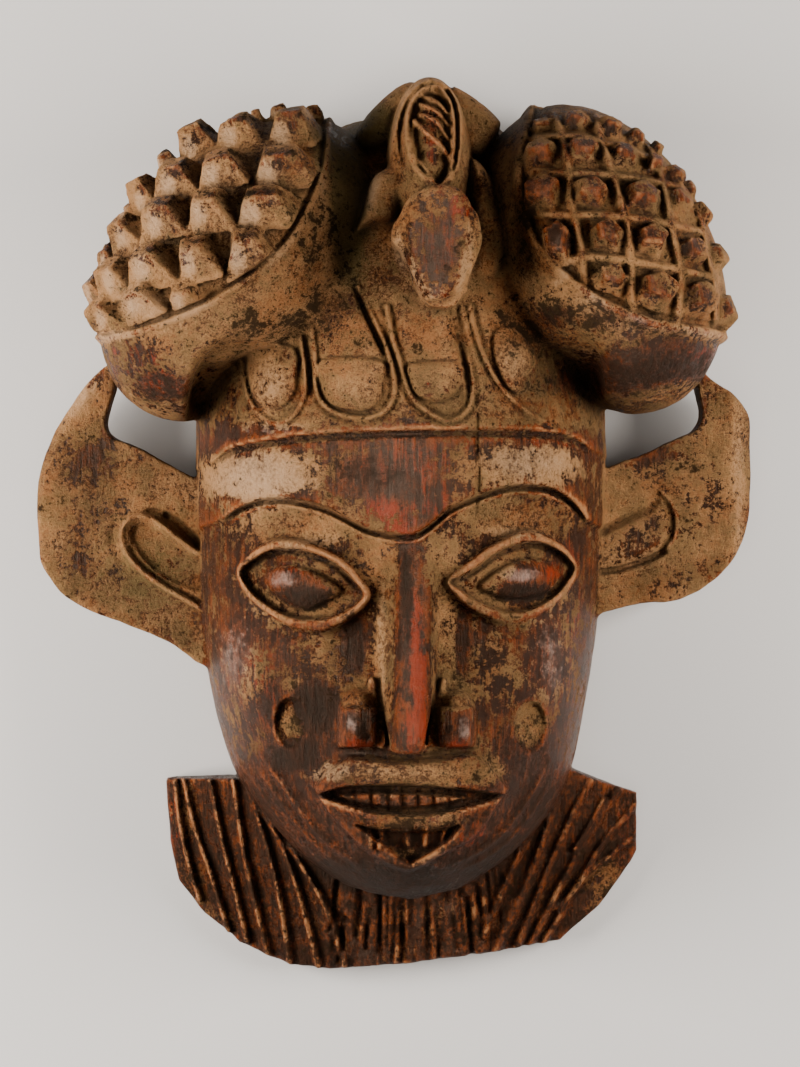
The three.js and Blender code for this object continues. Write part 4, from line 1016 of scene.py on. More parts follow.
# The neck ruff. A fan-shaped collar that slopes down from the chin, cut with long thin ridges at both sides
# and coarse upright chisel strokes in the middle.
RUFF_OUTLINE = [
    [-111, -118], [-109, -148], [-105, -168], [-92, -184], [-75, -198], [-50, -209], [-31, -211], [3, -208],
    [42, -203], [81, -197], [100, -180], [115, -159], [118, -153], [118, -125], [100, -119], [80, -111],
    [40, -100], [-40, -100], [-72, -117],
]
RUFF_FOOT = {"centre": [4, -100], "top_radius": 40, "foot_radius": 150, "height": 43}
RUFF_RIDGES = [
    [[-106, -118], [-104, -137.1], [-99.7, -158.3], [-94.4, -177]],
    [[-102.1, -118], [-95.4, -144.8], [-88.6, -164.1], [-80.4, -193]],
    [[-88.6, -118], [-82.8, -146.8], [-77.5, -169], [-71.4, -197]],
    [[-77.1, -117], [-72.7, -148.7], [-67.9, -173.3], [-60.6, -206]],
    [[-70.8, -118], [-61.1, -148.2], [-55.3, -173.3], [-50.5, -209]],
    [[-66.4, -127.5], [-55.3, -145.8], [-47.1, -167], [-36.5, -210]],
    [[-60.6, -136.2], [-45.2, -156.9], [-32.2, -180], [-24, -209]],
    [[81.6, -110], [76.8, -131.8], [70, -153], [61.8, -174.7], [49.5, -203]],
    [[97.1, -115], [86.9, -133.8], [75.3, -159.8], [58.9, -203]],
    [[110.6, -120], [93.6, -146.3], [83, -165.6], [65.7, -200]],
    [[118.3, -130], [99.4, -152.1], [87.4, -172.8], [72.4, -199]],
    [[118.8, -145], [94.6, -164.1], [79, -181]],
    [[67.6, -138.6], [55.6, -163.7], [43.9, -194]],
    [[101.4, -127.5], [95.6, -138.1], [87.4, -151.6]],
]
RUFF_RIDGE_WIDTHS = [3.4, 3.4, 3.4, 3.8, 3.4, 3.4, 3.4, 6.0, 5.0, 5.0, 4.4, 3.6, 4.4, 3.0]
RUFF_RIDGE_RISE = 2.5
STROKES = 46
RUFF_BOX = [[-116, -215, -4], [124, -92, 60]]
strokes = np.random.default_rng(31)
ruff_relief = np.zeros_like(plan_x)
for line, width in zip(RUFF_RIDGES, RUFF_RIDGE_WIDTHS):
    score(np.add(line, [width * 0.7, 0]), width * 1.7, deep=1.2, into=ruff_relief)
    score(line, width, deep=-RUFF_RIDGE_RISE, into=ruff_relief)
for _ in range(STROKES):
    x0 = strokes.uniform(-28, 52)
    y0 = strokes.uniform(-190, -158)
    lean = (x0 - 10) * 0.1 + strokes.normal(0, 1.0)
    long = strokes.uniform(14, 40)
    width = strokes.uniform(2.2, 4.0)
    deep = strokes.uniform(0.6, 1.8)
    score([[x0, y0], [x0 + lean, y0 - long]], width, deep, smooth=False, into=ruff_relief)
part = box_part(*RUFF_BOX)
x, y, z = places(part)
flat = off_outline(RUFF_OUTLINE, plan_x[part[:2]], plan_y[part[:2]])[:, :, None]
run = RUFF_FOOT["foot_radius"] - RUFF_FOOT["top_radius"]
from_chin = np.hypot(x - RUFF_FOOT["centre"][0], y - RUFF_FOOT["centre"][1])
surface = RUFF_FOOT["height"] * np.clip((RUFF_FOOT["foot_radius"] - from_chin) / run, 0, 1)
collar = common(flat, (z - surface - ruff_relief[part[:2]][:, :, None]) * 0.93, 1.6)
field[part] = joined(field[part], collar, 1.5)

# The tool marks and the hollow. The knife leaves shallow flats and the grain stands a little proud; behind,
# the wood is adzed out to a wall of about 19 mm, and the back is cut flat.
WALL = 19
HOLLOW_LIMIT = egg([3, -2, 0], [100, 152, 118])
BACK_ROUNDING = 1.5
KNIFE_MARKS = [
    {"depth": 0.50, "size": (11, 11, 11), "seed": 71},
    {"depth": 0.38, "size": (4.5, 6, 4.5), "seed": 72},
    {"depth": 0.21, "size": (2.2, 9, 2.2), "seed": 73},
]
ADZE_MARKS = {"depth": 0.9, "size": (14, 22, 14), "seed": 74}


def waviness(depth, size, seed):
    """Even random swelling up to this depth, with lumps about this size along each axis."""
    axes = [np.arange(axis[0] - step, axis[-1] + 2 * step, step) for axis, step in zip(block_axes, size)]
    rough = np.random.default_rng(seed).uniform(-1, 1, [len(axis) for axis in axes]).astype(np.float32)
    for k, (fine, coarse) in enumerate(zip(block_axes, axes)):
        away = np.abs(fine[:, None] - coarse[None, :]) / size[k]
        weights = np.where(away < 1, 2 / 3 - away**2 + away**3 / 2, np.clip(2 - away, 0, 1) ** 3 / 6)
        rough = np.moveaxis(np.tensordot(weights.astype(np.float32), rough, (1, k)), 0, k)
    return depth * 1.9 * rough


# The cap, the buns, the ears and the ruff are left rougher than the face.
rugged = 0.45 + 0.55 * np.maximum(eased(46, 60, plan_y), eased(98, 106, np.abs(plan_x - 3)))
rugged = np.maximum(rugged, eased(-120, -160, plan_y))[:, :, None]
for marks in KNIFE_MARKS:
    field -= rugged * waviness(**marks)

x, y, z = places(box_part(BLOCK_LOW, BLOCK_HIGH))
inside = common(skin + WALL, HOLLOW_LIMIT(x, y, z), 6.0) - waviness(**ADZE_MARKS)
field = carved(field, inside, 2.0)
field = common(field, -z, BACK_ROUNDING)

# The carved surface. It is drawn out of the field and thinned where the wood is plain. Small pockets that the
# studs close off inside the wood are dropped, so that one closed skin is left.
MOST_TRIANGLES = 196000
FAR_OUTSIDE = 10.0
grid = openvdb.FloatGrid(FAR_OUTSIDE)
grid.copyFromArray(np.ascontiguousarray(field, dtype=np.float32), ijk=(0, 0, 0), tolerance=0.0)
points, _, quads = grid.convertToPolygons(isovalue=0.0, adaptivity=0.0)
points = (np.asarray(points) * GRID_STEP + np.array(BLOCK_LOW)) * MILLIMETRE
# Points that share an edge take the lowest number between them, until every skin holds one number.
sides = ([0, 1], [1, 2], [2, 3], [3, 0])
ends = np.concatenate([quads[:, side] for side in sides]).astype(np.int64)
skin_of, lowest = None, np.arange(len(points))
while skin_of is None or not np.array_equal(lowest, skin_of):
    skin_of = lowest
    lowest = skin_of.copy()
    np.minimum.at(lowest, ends[:, 0], skin_of[ends[:, 1]])
    np.minimum.at(lowest, ends[:, 1], skin_of[ends[:, 0]])
    lowest = lowest[lowest]
kept = skin_of == np.bincount(skin_of).argmax()
points = points[kept]
quads = np.ascontiguousarray((np.cumsum(kept) - 1)[quads[kept[quads[:, 0]]]])
fine = bpy.data.meshes.new("fine")
fine.vertices.add(len(points))
fine.vertices.foreach_set("co", points.astype(np.float32).ravel())
fine.loops.add(quads.size)
fine.loops.foreach_set("vertex_index", quads.astype(np.int32).ravel())
fine.polygons.add(len(quads))
fine.polygons.foreach_set("loop_start", np.arange(0, quads.size, 4, dtype=np.int32))
fine.update(calc_edges=True)
mask = bpy.data.objects.new("carved_mask", fine)
bpy.context.scene.collection.objects.link(mask)
thin = mask.modifiers.new("thin", "DECIMATE")
thin.ratio = min(1.0, MOST_TRIANGLES / (2 * len(quads)))
worked = mask.evaluated_get(bpy.context.evaluated_depsgraph_get())
thinned = bpy.data.meshes.new_from_object(worked)
mask.modifiers.clear()
mask.data = thinned
bpy.data.meshes.remove(fine)
thinned.polygons.foreach_set("use_smooth", np.ones(len(thinned.polygons), dtype=bool))

# What the surface has been through, and where painted shade goes. Dust lies where the wood is hollow, edges
# are rubbed, and soot and red wear sit in their own places; how shut in and how creased each point is also
# sets the painted shade in hollows and creases. Each is worked out at every point of the carving, for the
# finish to read.
FEELER_STEP = 1.5
FEELER_MARGIN = 20
FEELER_HEIGHTS = ((3, 0.25), (6, 0.3), (10, 0.25), (15, 0.2))
EDGE_FEELER = 2.0
points, corners = mesh_arrays(thinned)
points = points / MILLIMETRE
normals = np.empty(len(points) * 3, dtype=np.float32)
thinned.vertices.foreach_get("normal", normals)
normals = normals.reshape(-1, 3)
feeler_origin = np.array(BLOCK_LOW) - FEELER_MARGIN
feeler_shape = ((np.array(BLOCK_HIGH) + FEELER_MARGIN - feeler_origin) / FEELER_STEP).astype(int)
feeler = openvdb.FloatGrid.createLevelSetFromPolygons(
    points=((points - feeler_origin) / FEELER_STEP).astype(np.float32), triangles=corners, halfWidth=12.0
)
room = np.empty(tuple(feeler_shape), dtype=np.float32)
feeler.copyToArray(room, ijk=(0, 0, 0))


def felt(where):
    """How far these places are from the nearest wood, in millimetres."""
    at = (where - feeler_origin) / FEELER_STEP
    base = np.clip(np.floor(at).astype(int), 0, feeler_shape - 2)
    share = (at - base).astype(np.float32)
    total = np.zeros(len(where), dtype=np.float32)
    for corner in np.ndindex(2, 2, 2):
        weight = np.prod([share[:, k] if corner[k] else 1 - share[:, k] for k in range(3)], axis=0)
        total += weight * room[tuple((base + corner).T)]
    return total * FEELER_STEP


shut_in = np.zeros(len(points), dtype=np.float32)
for height, weight in FEELER_HEIGHTS:
    shut_in += weight * np.clip(1 - felt(points + normals * height) / height, 0, 1)
bend = felt(points + normals * EDGE_FEELER) + felt(points - normals * EDGE_FEELER)
rubbed = np.clip(bend * 0.9, 0, 1)
creased = np.clip(-bend * 0.8, 0, 1)
px, py, pz = points.T

# Where each kind of wear and painted light lies on the mask. A patch is its centre, its two radii, its turn
# in degrees and its strength. Dust fills it, bare wood is wiped clean of dust, soot darkens it and in some
# places is painted shade, and a highlight patch is a painted highlight, a pale sheen painted onto the high
# places.
DUST_PATCHES = {
    "forehead": [(58, 32, 36, 12, 0, 0.85), (-62, 28, 36, 13, 0, 0.95)],
    "eyes": [
        (58, 9, 34, 12, -6, 0.8), (-42, 6, 34, 12, 8, 0.85), (58, -22, 30, 22, 6, 0.52),
        (-45, -26, 30, 22, -8, 0.55),
    ],
    "nose": [
        (-6, -8, 12, 22, 0, 0.6), (22, -12, 10, 26, 0, 0.55), (-4, -48, 6, 46, 0, 0.85),
        (22, -52, 7, 42, 0, 0.75), (-15, -73, 11, 7, 0, 0.9), (28, -73, 11, 7, 0, 0.9),
    ],
    "cheeks and temples": [
        (70, -56, 18, 26, 0, 0.34), (-62, -60, 30, 26, 0, 0.36), (-36, -62, 22, 24, 0, 0.44),
        (44, -66, 18, 22, 0, 0.42), (-46, -86, 7, 9, 0, 0.8), (-47, -88, 9, 12, 0, 0.35),
        (63, -88, 8, 12, 0, 0.7),
    ],
    "mouth and chin": [
        (7, -108, 48, 8, 0, 0.9), (7, -119, 30, 5, 0, 0.45), (7, -129, 36, 7, 0, 0.6),
        (7, -146, 14, 8, 0, 0.45),
    ],
}
BARE_PATCHES = {
    "lizard": [(17, 180, 9, 22, 0, 0.5), (21, 128, 15, 26, 0, 0.52)],
    "left bun": [(-30, 176, 14, 26, 0, 0.2), (-112, 72, 46, 26, -20, 0.4)],
    "right bun": [(104, 150, 40, 40, 0, 0.12), (100, 96, 56, 14, -12, 0.35), (120, 78, 52, 14, 8, 0.62)],
    "cap": [(-42, 86, 24, 16, 20, 0.3), (30, 68, 26, 12, 0, 0.22)],
    "left ear": [
        (-146, 40, 15, 14, 20, 0.42), (-140, 10, 16, 10, 0, 0.3), (-112, -12, 18, 10, 40, 0.36),
        (-150, -14, 14, 10, 0, 0.3),
    ],
    "right ear": [
        (150, 58, 12, 10, 0, 0.3), (128, 37, 24, 9, 20, 0.44), (153, 24, 7, 26, 0, 0.36),
        (138, 4, 12, 16, 0, 0.42), (116, -4, 16, 8, 8, 0.46), (142, -20, 22, 7, 20, 0.4),
    ],
    "eyes": [(63.1, -20.1, 15, 7.5, 8, 0.7), (-46.4, -21.9, 14, 7.5, -6, 0.7)],
    "nose": [(9, -50, 8, 44, 0, 0.4), (-16, -88, 7, 8, 0, 0.8), (28, -88, 7, 8, 0, 0.8)],
    "cheeks and temples": [(-74, -56, 9, 20, -6, 0.3), (72, -56, 8, 20, 6, 0.3)],
    "ruff": [(8, -160, 40, 14, 0, 0.3)],
}
SOOT_AND_SHADE_PATCHES = {
    "lizard": [(17, 190, 8, 14, 0, 0.35), (21, 124, 9, 18, 0, 0.3)],
    "left bun": [
        (-28, 128, 16, 40, 10, 0.4), (-30, 104, 14, 20, 0, 0.5), (-52, 98, 34, 12, 24, 0.45),
        (-105, 68, 16, 8, 0, 0.5),
    ],
    # At the right bun, the band just under the lip round (96, 98) is painted shade on the bun's underside.
    "right bun": [
        (60, 140, 6, 40, 0, 0.4), (104, 120, 50, 30, 0, 0.16), (96, 98, 54, 9, -14, 0.4),
        (60, 96, 20, 14, 0, 0.55), (118, 76, 52, 10, 8, 0.62),
    ],
    "cap": [(-12, 92, 12, 12, 0, 0.3), (14, 90, 12, 10, 0, 0.3)],
    "forehead": [(-6, 27, 22, 12, 0, 0.5)],
    "left ear": [(-146, 38, 8, 7, 0, 0.46), (-136, 11, 10, 6, 0, 0.36)],
    "right ear": [(122, 36, 12, 5, 24, 0.46), (142, 34, 8, 6, 0, 0.42)],
    # The patches low on each eyeball are painted shade on the lower half of the ball.
    "eyes": [
        (-36, 10, 8, 4, 0, 0.3), (60, -25, 14, 3, 0, 0.6), (60, -26.5, 14, 5, 0, 0.95),
        (-46, -27, 12, 3, 0, 0.6), (-40, -28, 13, 6, 0, 0.95),
    ],
    "nose": [
        (6, -26, 3.0, 28, 2, 0.95), (32, -46, 5, 16, 0, 0.5), (-18, -48, 6, 14, 0, 0.7),
        (25.3, -85, 2.5, 5, 0, 0.8), (-14.5, -87, 3, 4.5, 0, 0.9),
    ],
    "cheeks and temples": [
        (-70, -10, 10, 18, 0, 0.25), (-56, -78, 8, 14, 0, 0.6), (-36, -78, 12, 14, 0, 0.95),
    ],
    "mouth and chin": [
        (7, -121, 36, 4.5, 0, 0.5), (8, -128, 26, 8, 0, 0.35), (9, -140, 20, 7, 0, 0.5),
        (40, -152, 34, 13, 20, 0.75),
    ],
    "jaw": [
        (-45, -101, 15, 8, 20, 1.0), (60, -104, 18, 16, 0, 0.5), (66, -126, 20, 22, -40, 0.55),
        (-60, -128, 22, 20, 40, 0.5),
    ],
    "ruff": [
        (90, -146, 6, 26, -24, 0.5), (-86, -150, 8, 34, 8, 0.55), (-60, -150, 6, 30, 14, 0.55),
        (68, -150, 6, 30, -16, 0.5), (-8, -160, 56, 14, 0, 0.9),
    ],
}
RED_PATCHES = {
    "lizard": [
        (15, 180, 9, 20, 0, 0.6), (20, 155, 13, 4, 0, 0.85), (30, 146, 7, 7, 0, 0.9),
        (20, 128, 12, 20, 0, 0.34), (26, 108, 8, 3, 20, 0.7),
    ],
    "left bun": [(-90, 84, 40, 12, -20, 0.35), (-110, 78, 40, 14, -18, 0.36)],
    "right bun": [(150, 86, 18, 6, 20, 0.5)],
    "cap": [(20, 68, 11, 8, 0, 0.6)],
    "forehead": [(60, 42, 36, 2.4, 0, 0.5), (10, 34, 22, 8, 0, 0.4), (4, 30, 18, 16, 0, 0.35)],
    "right ear": [(170, -10, 8, 20, 0, 0.5)],
    "eyes": [(-46, -15, 6, 3, 0, 0.5), (74, -17, 6, 6, 0, 0.6)],
    "nose": [
        (20, 14, 12, 8, 0, 0.5), (-3, 8, 15, 8, -20, 0.95), (11, -60, 4.4, 34, 3, 1.0),
        (8, -88, 6, 10, 0, 0.65), (-15.6, -94, 7, 3.4, 0, 1.0), (28.6, -95, 7, 3, 0, 0.9),
    ],
    "cheeks and temples": [(84, -8, 5, 8, 0, 0.4), (84, -44, 6, 26, 0, 0.3), (-60, -70, 8, 20, 10, 0.36)],
    "mouth and chin": [(36, -138, 10, 6, 30, 0.4)],
    "ruff": [(-106, -140, 4, 24, 0, 0.5), (112, -150, 5, 30, 0, 0.3)],
}
MOSS_PATCHES = {
    "lizard": [(-14, 190, 14, 14, 0, 0.8), (-20, 150, 9, 36, 0, 1.0)],
    "left bun": [(-30, 176, 8, 20, 0, 0.6)],
    "left ear": [(-118, -18, 26, 18, 0, 0.45)],
}
# Painted highlights and sheen: pale patches on the forehead, cheeks, eyeballs, nostril blocks, upper lip, the
# lizard's edges and legs, the bun rims, the cap and the ears.
PAINTED_HIGHLIGHT_PATCHES = {
    "lizard": [
        (-12, 154, 6, 14, -20, 0.8), (3, 126, 3, 12, 15, 0.5), (34, 126, 2.4, 16, 0, 0.5),
        (31, 118, 2.4, 14, -12, 0.6), (11, 115, 2.4, 12, 20, 0.55), (18, 108, 6, 3, 0, 0.6),
    ],
    "left bun": [
        (-32, 162, 3, 18, 4, 0.5), (-92, 140, 50, 46, 0, 0.3), (-50, 128, 16, 3, 50, 0.5),
        (-112, 104, 26, 12, -20, 0.5), (-92, 100, 18, 3, 22, 0.6), (-130, 91, 18, 3, 4, 0.7),
    ],
    "right bun": [
        (76, 117, 3, 9, -40, 0.6), (92, 104.5, 12, 3, -35, 0.7), (96, 100, 24, 6, -24, 0.5),
        (112, 96.5, 12, 3, -16, 0.75), (140, 92.5, 22, 3, -3, 0.6),
    ],
    "cap": [
        (55, 80, 9, 13, 0, 0.4), (-56, 71, 10, 13, 0, 0.45), (20, 69, 9, 7, 0, 0.25),
        (-20, 66, 12, 8, 0, 0.3), (-57, 48, 22, 4, 0, 0.6),
    ],
    "forehead": [(64, 33, 28, 11, 0, 0.62), (-62, 26, 28, 15, 0, 0.8)],
    "left ear": [(-150, 70, 8, 18, -30, 0.6)],
    "right ear": [(166, 30, 5, 46, 0, 0.4), (168, -6, 5, 26, 16, 0.4), (118, -10, 14, 10, 20, 0.35)],
    "eyes": [
        (58, 0, 20, 4, -8, 0.5), (-42, -4, 22, 4, 10, 0.55), (59, -18, 12, 4.6, 0, 0.8),
        (-50, -20, 10, 5.5, 0, 0.86),
    ],
    "nose": [(-5, -50, 3, 40, 0, 0.4), (-18.9, -84, 4, 6, 0, 1.0), (32, -86, 3.4, 7, 0, 1.0)],
    "cheeks and temples": [(-74, -56, 12, 26, -6, 0.6), (72, -56, 10, 24, 6, 0.62)],
    "mouth and chin": [(4, -107, 30, 3, 0, 0.34), (-32, -108, 10, 6, 40, 0.6), (-26, -108, 12, 4, 24, 0.6)],
}


def spots(patches):
    """How strong a set of soft oval patches is at every point of the carving."""
    total = np.zeros(len(points), dtype=np.float32)
    for x, y, rx, ry, turn, strength in patches:
        cos, sin = math.cos(math.radians(turn)), math.sin(math.radians(turn))
        u, v = (px - x) * cos + (py - y) * sin, (py - y) * cos - (px - x) * sin
        total = np.maximum(total, strength * np.exp(-(((u / rx) ** 2 + (v / ry) ** 2) ** 1.5)))
    return total


def all_of(patches):
    """Every patch of one kind of wear, from all over the mask."""
    return sum(patches.values(), [])


head_dust = 0.18 + 0.64 * eased(46, 56, py)
ear_dust = 0.74 * eased(93, 97, np.abs(px - 3)) * eased(44, 36, pz) * eased(-70, -60, py)
ruff_dust = 0.30 * eased(-150, -165, py)
ruff_dust = ruff_dust + 0.26 * eased(84, 100, np.abs(px - 4)) * eased(-100, -120, py)
dusty = np.maximum(np.maximum(head_dust, ear_dust), ruff_dust)
dusty = np.maximum(dusty, spots(all_of(DUST_PATCHES)))
left_studs, right_studs = (np.array(sum(bun["rows"], [])) for bun in BUNS)
bare = spots([(x, y + 0.06 * d, 0.60 * w, 0.55 * d, 0, 0.62) for x, y, w, d in right_studs])
bare_tops = spots([(x - 0.1 * w, y + 0.22 * d, 0.40 * w, 0.30 * d, 0, 0.35) for x, y, w, d in left_studs])
bare = np.maximum(bare, bare_tops)
bare = np.maximum(bare, spots(all_of(BARE_PATCHES)))
# Painted shade along the upper edge of each left stud. The mark also grows darker towards the bottom of the
# mask, below the nose, and takes in the soot patches, some of which are painted shade.
soot_and_shade = spots([(x, y + 0.42 * d, 0.42 * w, 0.14 * d, 0, 0.5) for x, y, w, d in left_studs])
soot_and_shade = np.maximum(soot_and_shade, 0.34 * eased(-96, -120, py) + 0.08 * eased(-125, -150, py))
soot_and_shade = np.maximum(soot_and_shade, spots(all_of(SOOT_AND_SHADE_PATCHES)))
ruddy = spots(all_of(RED_PATCHES))
mossy = spots(all_of(MOSS_PATCHES))
# Painted highlight on the lower left face of each left stud, where the light falls, then the listed painted
# highlights.
painted_highlight = spots([(x - 0.30 * w, y - 0.10 * d, 0.24 * w, 0.42 * d, 12, 0.85) for x, y, w, d in left_studs])
painted_highlight = np.maximum(painted_highlight, spots(all_of(PAINTED_HIGHLIGHT_PATCHES)))
for name, parts in (
    ("shape_and_highlight_marks", (shut_in, rubbed, creased, painted_highlight)),
    ("age_and_shade_marks", (np.clip(dusty - bare, 0, 1), soot_and_shade, ruddy, mossy)),
):
    layer = thinned.color_attributes.new(name, "FLOAT_COLOR", "POINT")
    layer.data.foreach_set("color", np.stack(parts, axis=1).astype(np.float32).ravel())

# The finish. Dark hardwood polished by handling to a satin skin, rubbed red-brown on the high places, with
# tan dust packed into everything that is hollow, black soot in places, painted shade darkening the creases
# and shut-in hollows, and painted highlights and grey sheen on the high places.
# Two of these colours are painted highlights, a pale one laid over dust and a grey sheen laid over bare wood,
# and the near-black one serves for soot, for dark pores and for painted shade.
DARK_WOOD = (0.0130, 0.0042, 0.0020, 1)
WARM_WOOD = (0.1050, 0.0240, 0.0050, 1)
RED_WOOD = (0.1250, 0.0105, 0.0010, 1)
EDGE_TAN = (0.3400, 0.1750, 0.0750, 1)
DUST_PALE = (0.3200, 0.1660, 0.0680, 1)
DUST_DEEP = (0.0400, 0.0130, 0.0036, 1)
DUST_RUST = (0.1900, 0.0530, 0.0095, 1)
DUST_PAINTED_HIGHLIGHT = (0.4200, 0.2700, 0.1550, 1)
DUST_OLIVE = (0.1300, 0.0800, 0.0300, 1)
GREY_PAINTED_SHEEN = (0.2100, 0.1500, 0.1250, 1)
SOOT_AND_SHADE_BLACK = (0.0035, 0.0017, 0.0010, 1)
MOSS = (0.0800, 0.0600, 0.0200, 1)
BUMP_DEPTH = 0.0019
GLOSS = 0.14
GLOSS_TINT = (1.0, 0.72, 0.50, 1)
wood.use_nodes = True
nodes, links = wood.node_tree.nodes, wood.node_tree.links
nodes.clear()


def node(kind, **settings):
    """A new node with these settings."""
    made_node = nodes.new(kind)
    for key, value in settings.items():
        setattr(made_node, key, value)
    return made_node


def feed(target, value):
    """Links a socket to the target, or sets the target to a plain value."""
    if isinstance(value, bpy.types.NodeSocket):
        links.new(value, target)
    else:
        target.default_value = value


def maths(operation, a, b=0.0, clamp=False):
    step_node = node("ShaderNodeMath", operation=operation, use_clamp=clamp)
    feed(step_node.inputs[0], a)
    feed(step_node.inputs[1], b)
    return step_node.outputs[0]


def total(*terms):
    """Adds patterns together; a pair is a value times a number."""
    result = None
    for term in terms:
        value = maths("MULTIPLY", *term) if isinstance(term, tuple) else term
        result = value if result is None else maths("ADD", result, value)
    return result


def swing(value, amount):
    """A mottle taken about its middle, so that it adds as much as it takes away."""
    return maths("MULTIPLY", maths("SUBTRACT", value, 0.5), amount)


def blend(share, a, b):
    """Lays the second colour over the first by its share."""
    mixer = node("ShaderNodeMix", data_type="RGBA", blend_type="MIX")
    feed(mixer.inputs[0], share)
    feed(mixer.inputs[6], a)
    feed(mixer.inputs[7], b)
    return mixer.outputs[2]


def ramp(value, low, high):
    """A smooth climb of a pattern from 0 at low to 1 at high."""
    shaper = node("ShaderNodeMapRange", interpolation_type="SMOOTHSTEP")
    feed(shaper.inputs["Value"], value)
    shaper.inputs["From Min"].default_value = low
    shaper.inputs["From Max"].default_value = high
    return shaper.outputs["Result"]


place = node("ShaderNodeTexCoord").outputs["Object"]


def mottle(scale, detail, roughness, stretch=(1, 1, 1), shift=0.0):
    """A random pattern fixed to the wood, this many lumps to the metre."""
    fit = node("ShaderNodeMapping")
    links.new(place, fit.inputs["Vector"])
    fit.inputs["Scale"].default_value = stretch
    fit.inputs["Location"].default_value = (shift, shift * 0.7, shift * 1.3)
    noise = node("ShaderNodeTexNoise")
    links.new(fit.outputs["Vector"], noise.inputs["Vector"])
    noise.inputs["Scale"].default_value = scale
    noise.inputs["Detail"].default_value = detail
    noise.inputs["Roughness"].default_value = roughness
    return noise.outputs["Fac"]


# The marks that the carving holds are read back, and patterns of several sizes break up their edges.
shape_source = node("ShaderNodeAttribute", attribute_name="shape_and_highlight_marks")
shape_and_highlight_marks = node("ShaderNodeSeparateColor")
links.new(shape_source.outputs["Color"], shape_and_highlight_marks.inputs["Color"])
age_source = node("ShaderNodeAttribute", attribute_name="age_and_shade_marks")
age_and_shade_marks = node("ShaderNodeSeparateColor")
links.new(age_source.outputs["Color"], age_and_shade_marks.inputs["Color"])
shut, rub, crease = (shape_and_highlight_marks.outputs[k] for k in ("Red", "Green", "Blue"))
dust_mark, soot_and_shade_mark, red_mark = (age_and_shade_marks.outputs[k] for k in ("Red", "Green", "Blue"))
highlight_mark, moss_mark = shape_source.outputs["Alpha"], age_source.outputs["Alpha"]

cloudy = mottle(22, 4, 0.6)
patchy = mottle(36, 4, 0.6, shift=9.1)
broad = mottle(60, 6, 0.62, shift=2.3)
speckle = mottle(190, 8, 0.72, shift=3.1)
fleck = mottle(520, 8, 0.75, shift=5.3)
grit = mottle(1300, 4, 0.7, shift=6.7)
fibre = mottle(130, 8, 0.70, stretch=(3.4, 0.30, 3.4), shift=1.7)
pores = mottle(420, 4, 0.6, stretch=(2.4, 0.25, 2.4), shift=7.9)

# Bare wood, dark to warm along the grain, then red wear and a painted grey sheen, a painted highlight, over
# it.
tone = total((broad, 0.50), (fibre, 0.55), (speckle, 0.35), (rub, 0.25), (fleck, 0.30))
colour = blend(ramp(tone, 0.78, 0.98), DARK_WOOD, WARM_WOOD)
colour = blend(maths("MULTIPLY", ramp(pores, 0.50, 0.38), 0.5), colour, SOOT_AND_SHADE_BLACK)
red_share = ramp(total(red_mark, swing(broad, 1.2), swing(fibre, 2.6), swing(fleck, 0.8)), 0.26, 0.80)
colour = blend(maths("MULTIPLY", red_share, 0.9), colour, RED_WOOD)
painted_sheen_share = ramp(total(highlight_mark, swing(speckle, 1.4), swing(cloudy, 0.6)), 0.45, 1.0)
colour = blend(maths("MULTIPLY", painted_sheen_share, 0.7), colour, GREY_PAINTED_SHEEN)

# Dust over the wood, from deep to pale, with rust, olive and moss in it, painted paler where a painted
# highlight lies. Soot, and the painted shade that shares its mark, keeps it away.
soot_and_shade_share = ramp(total(soot_and_shade_mark, swing(broad, 1.7), swing(speckle, 2.2), swing(fleck, 1.6)), 0.30, 0.58)
dust_level = total(
    dust_mark, (shut, 0.22), (rub, -0.16), (soot_and_shade_share, -0.30), swing(speckle, 2.2), swing(broad, 1.3),
    swing(cloudy, 0.8), swing(fleck, 1.8), swing(fibre, 0.7),
)
dust_share = ramp(dust_level, 0.27, 0.50)
dust_tone = total(
    (fleck, 0.50), (grit, 0.35), (speckle, 0.35), swing(cloudy, 0.5), (highlight_mark, 0.10), (rub, 0.08)
)
dust_colour = blend(ramp(dust_tone, 0.52, 0.70), DUST_DEEP, DUST_PALE)
rust_share = ramp(total(patchy, swing(fleck, 1.2), (highlight_mark, -0.4)), 0.42, 0.64)
dust_colour = blend(maths("MULTIPLY", rust_share, 0.45), dust_colour, DUST_RUST)
olive_share = ramp(total(broad, swing(speckle, 0.9), swing(fleck, 0.6), (highlight_mark, -0.3)), 0.44, 0.60)
dust_colour = blend(maths("MULTIPLY", olive_share, 0.6), dust_colour, DUST_OLIVE)
dust_highlight_share = ramp(total(highlight_mark, swing(speckle, 0.8), swing(fleck, 1.2)), 0.20, 1.10)
dust_colour = blend(dust_highlight_share, dust_colour, DUST_PAINTED_HIGHLIGHT)
moss_share = ramp(total(moss_mark, (patchy, -0.5), swing(speckle, 1.2), swing(fleck, 1.0)), -0.10, 0.45)
dust_colour = blend(maths("MULTIPLY", moss_share, 0.8), dust_colour, MOSS)
colour = blend(dust_share, colour, dust_colour)
# Rubbed edges show tan over the dust. Soot, with painted shade in places, darkens all of it, and painted
# shade darkens the creases and the shut-in hollows, where shade falls.
edge_share = ramp(total((rub, 1.0), swing(speckle, 1.4), swing(fleck, 0.8), (soot_and_shade_share, -0.4)), 0.42, 0.95)
colour = blend(maths("MULTIPLY", edge_share, 0.46), colour, EDGE_TAN)
colour = blend(maths("MULTIPLY", soot_and_shade_share, 0.88), colour, SOOT_AND_SHADE_BLACK)
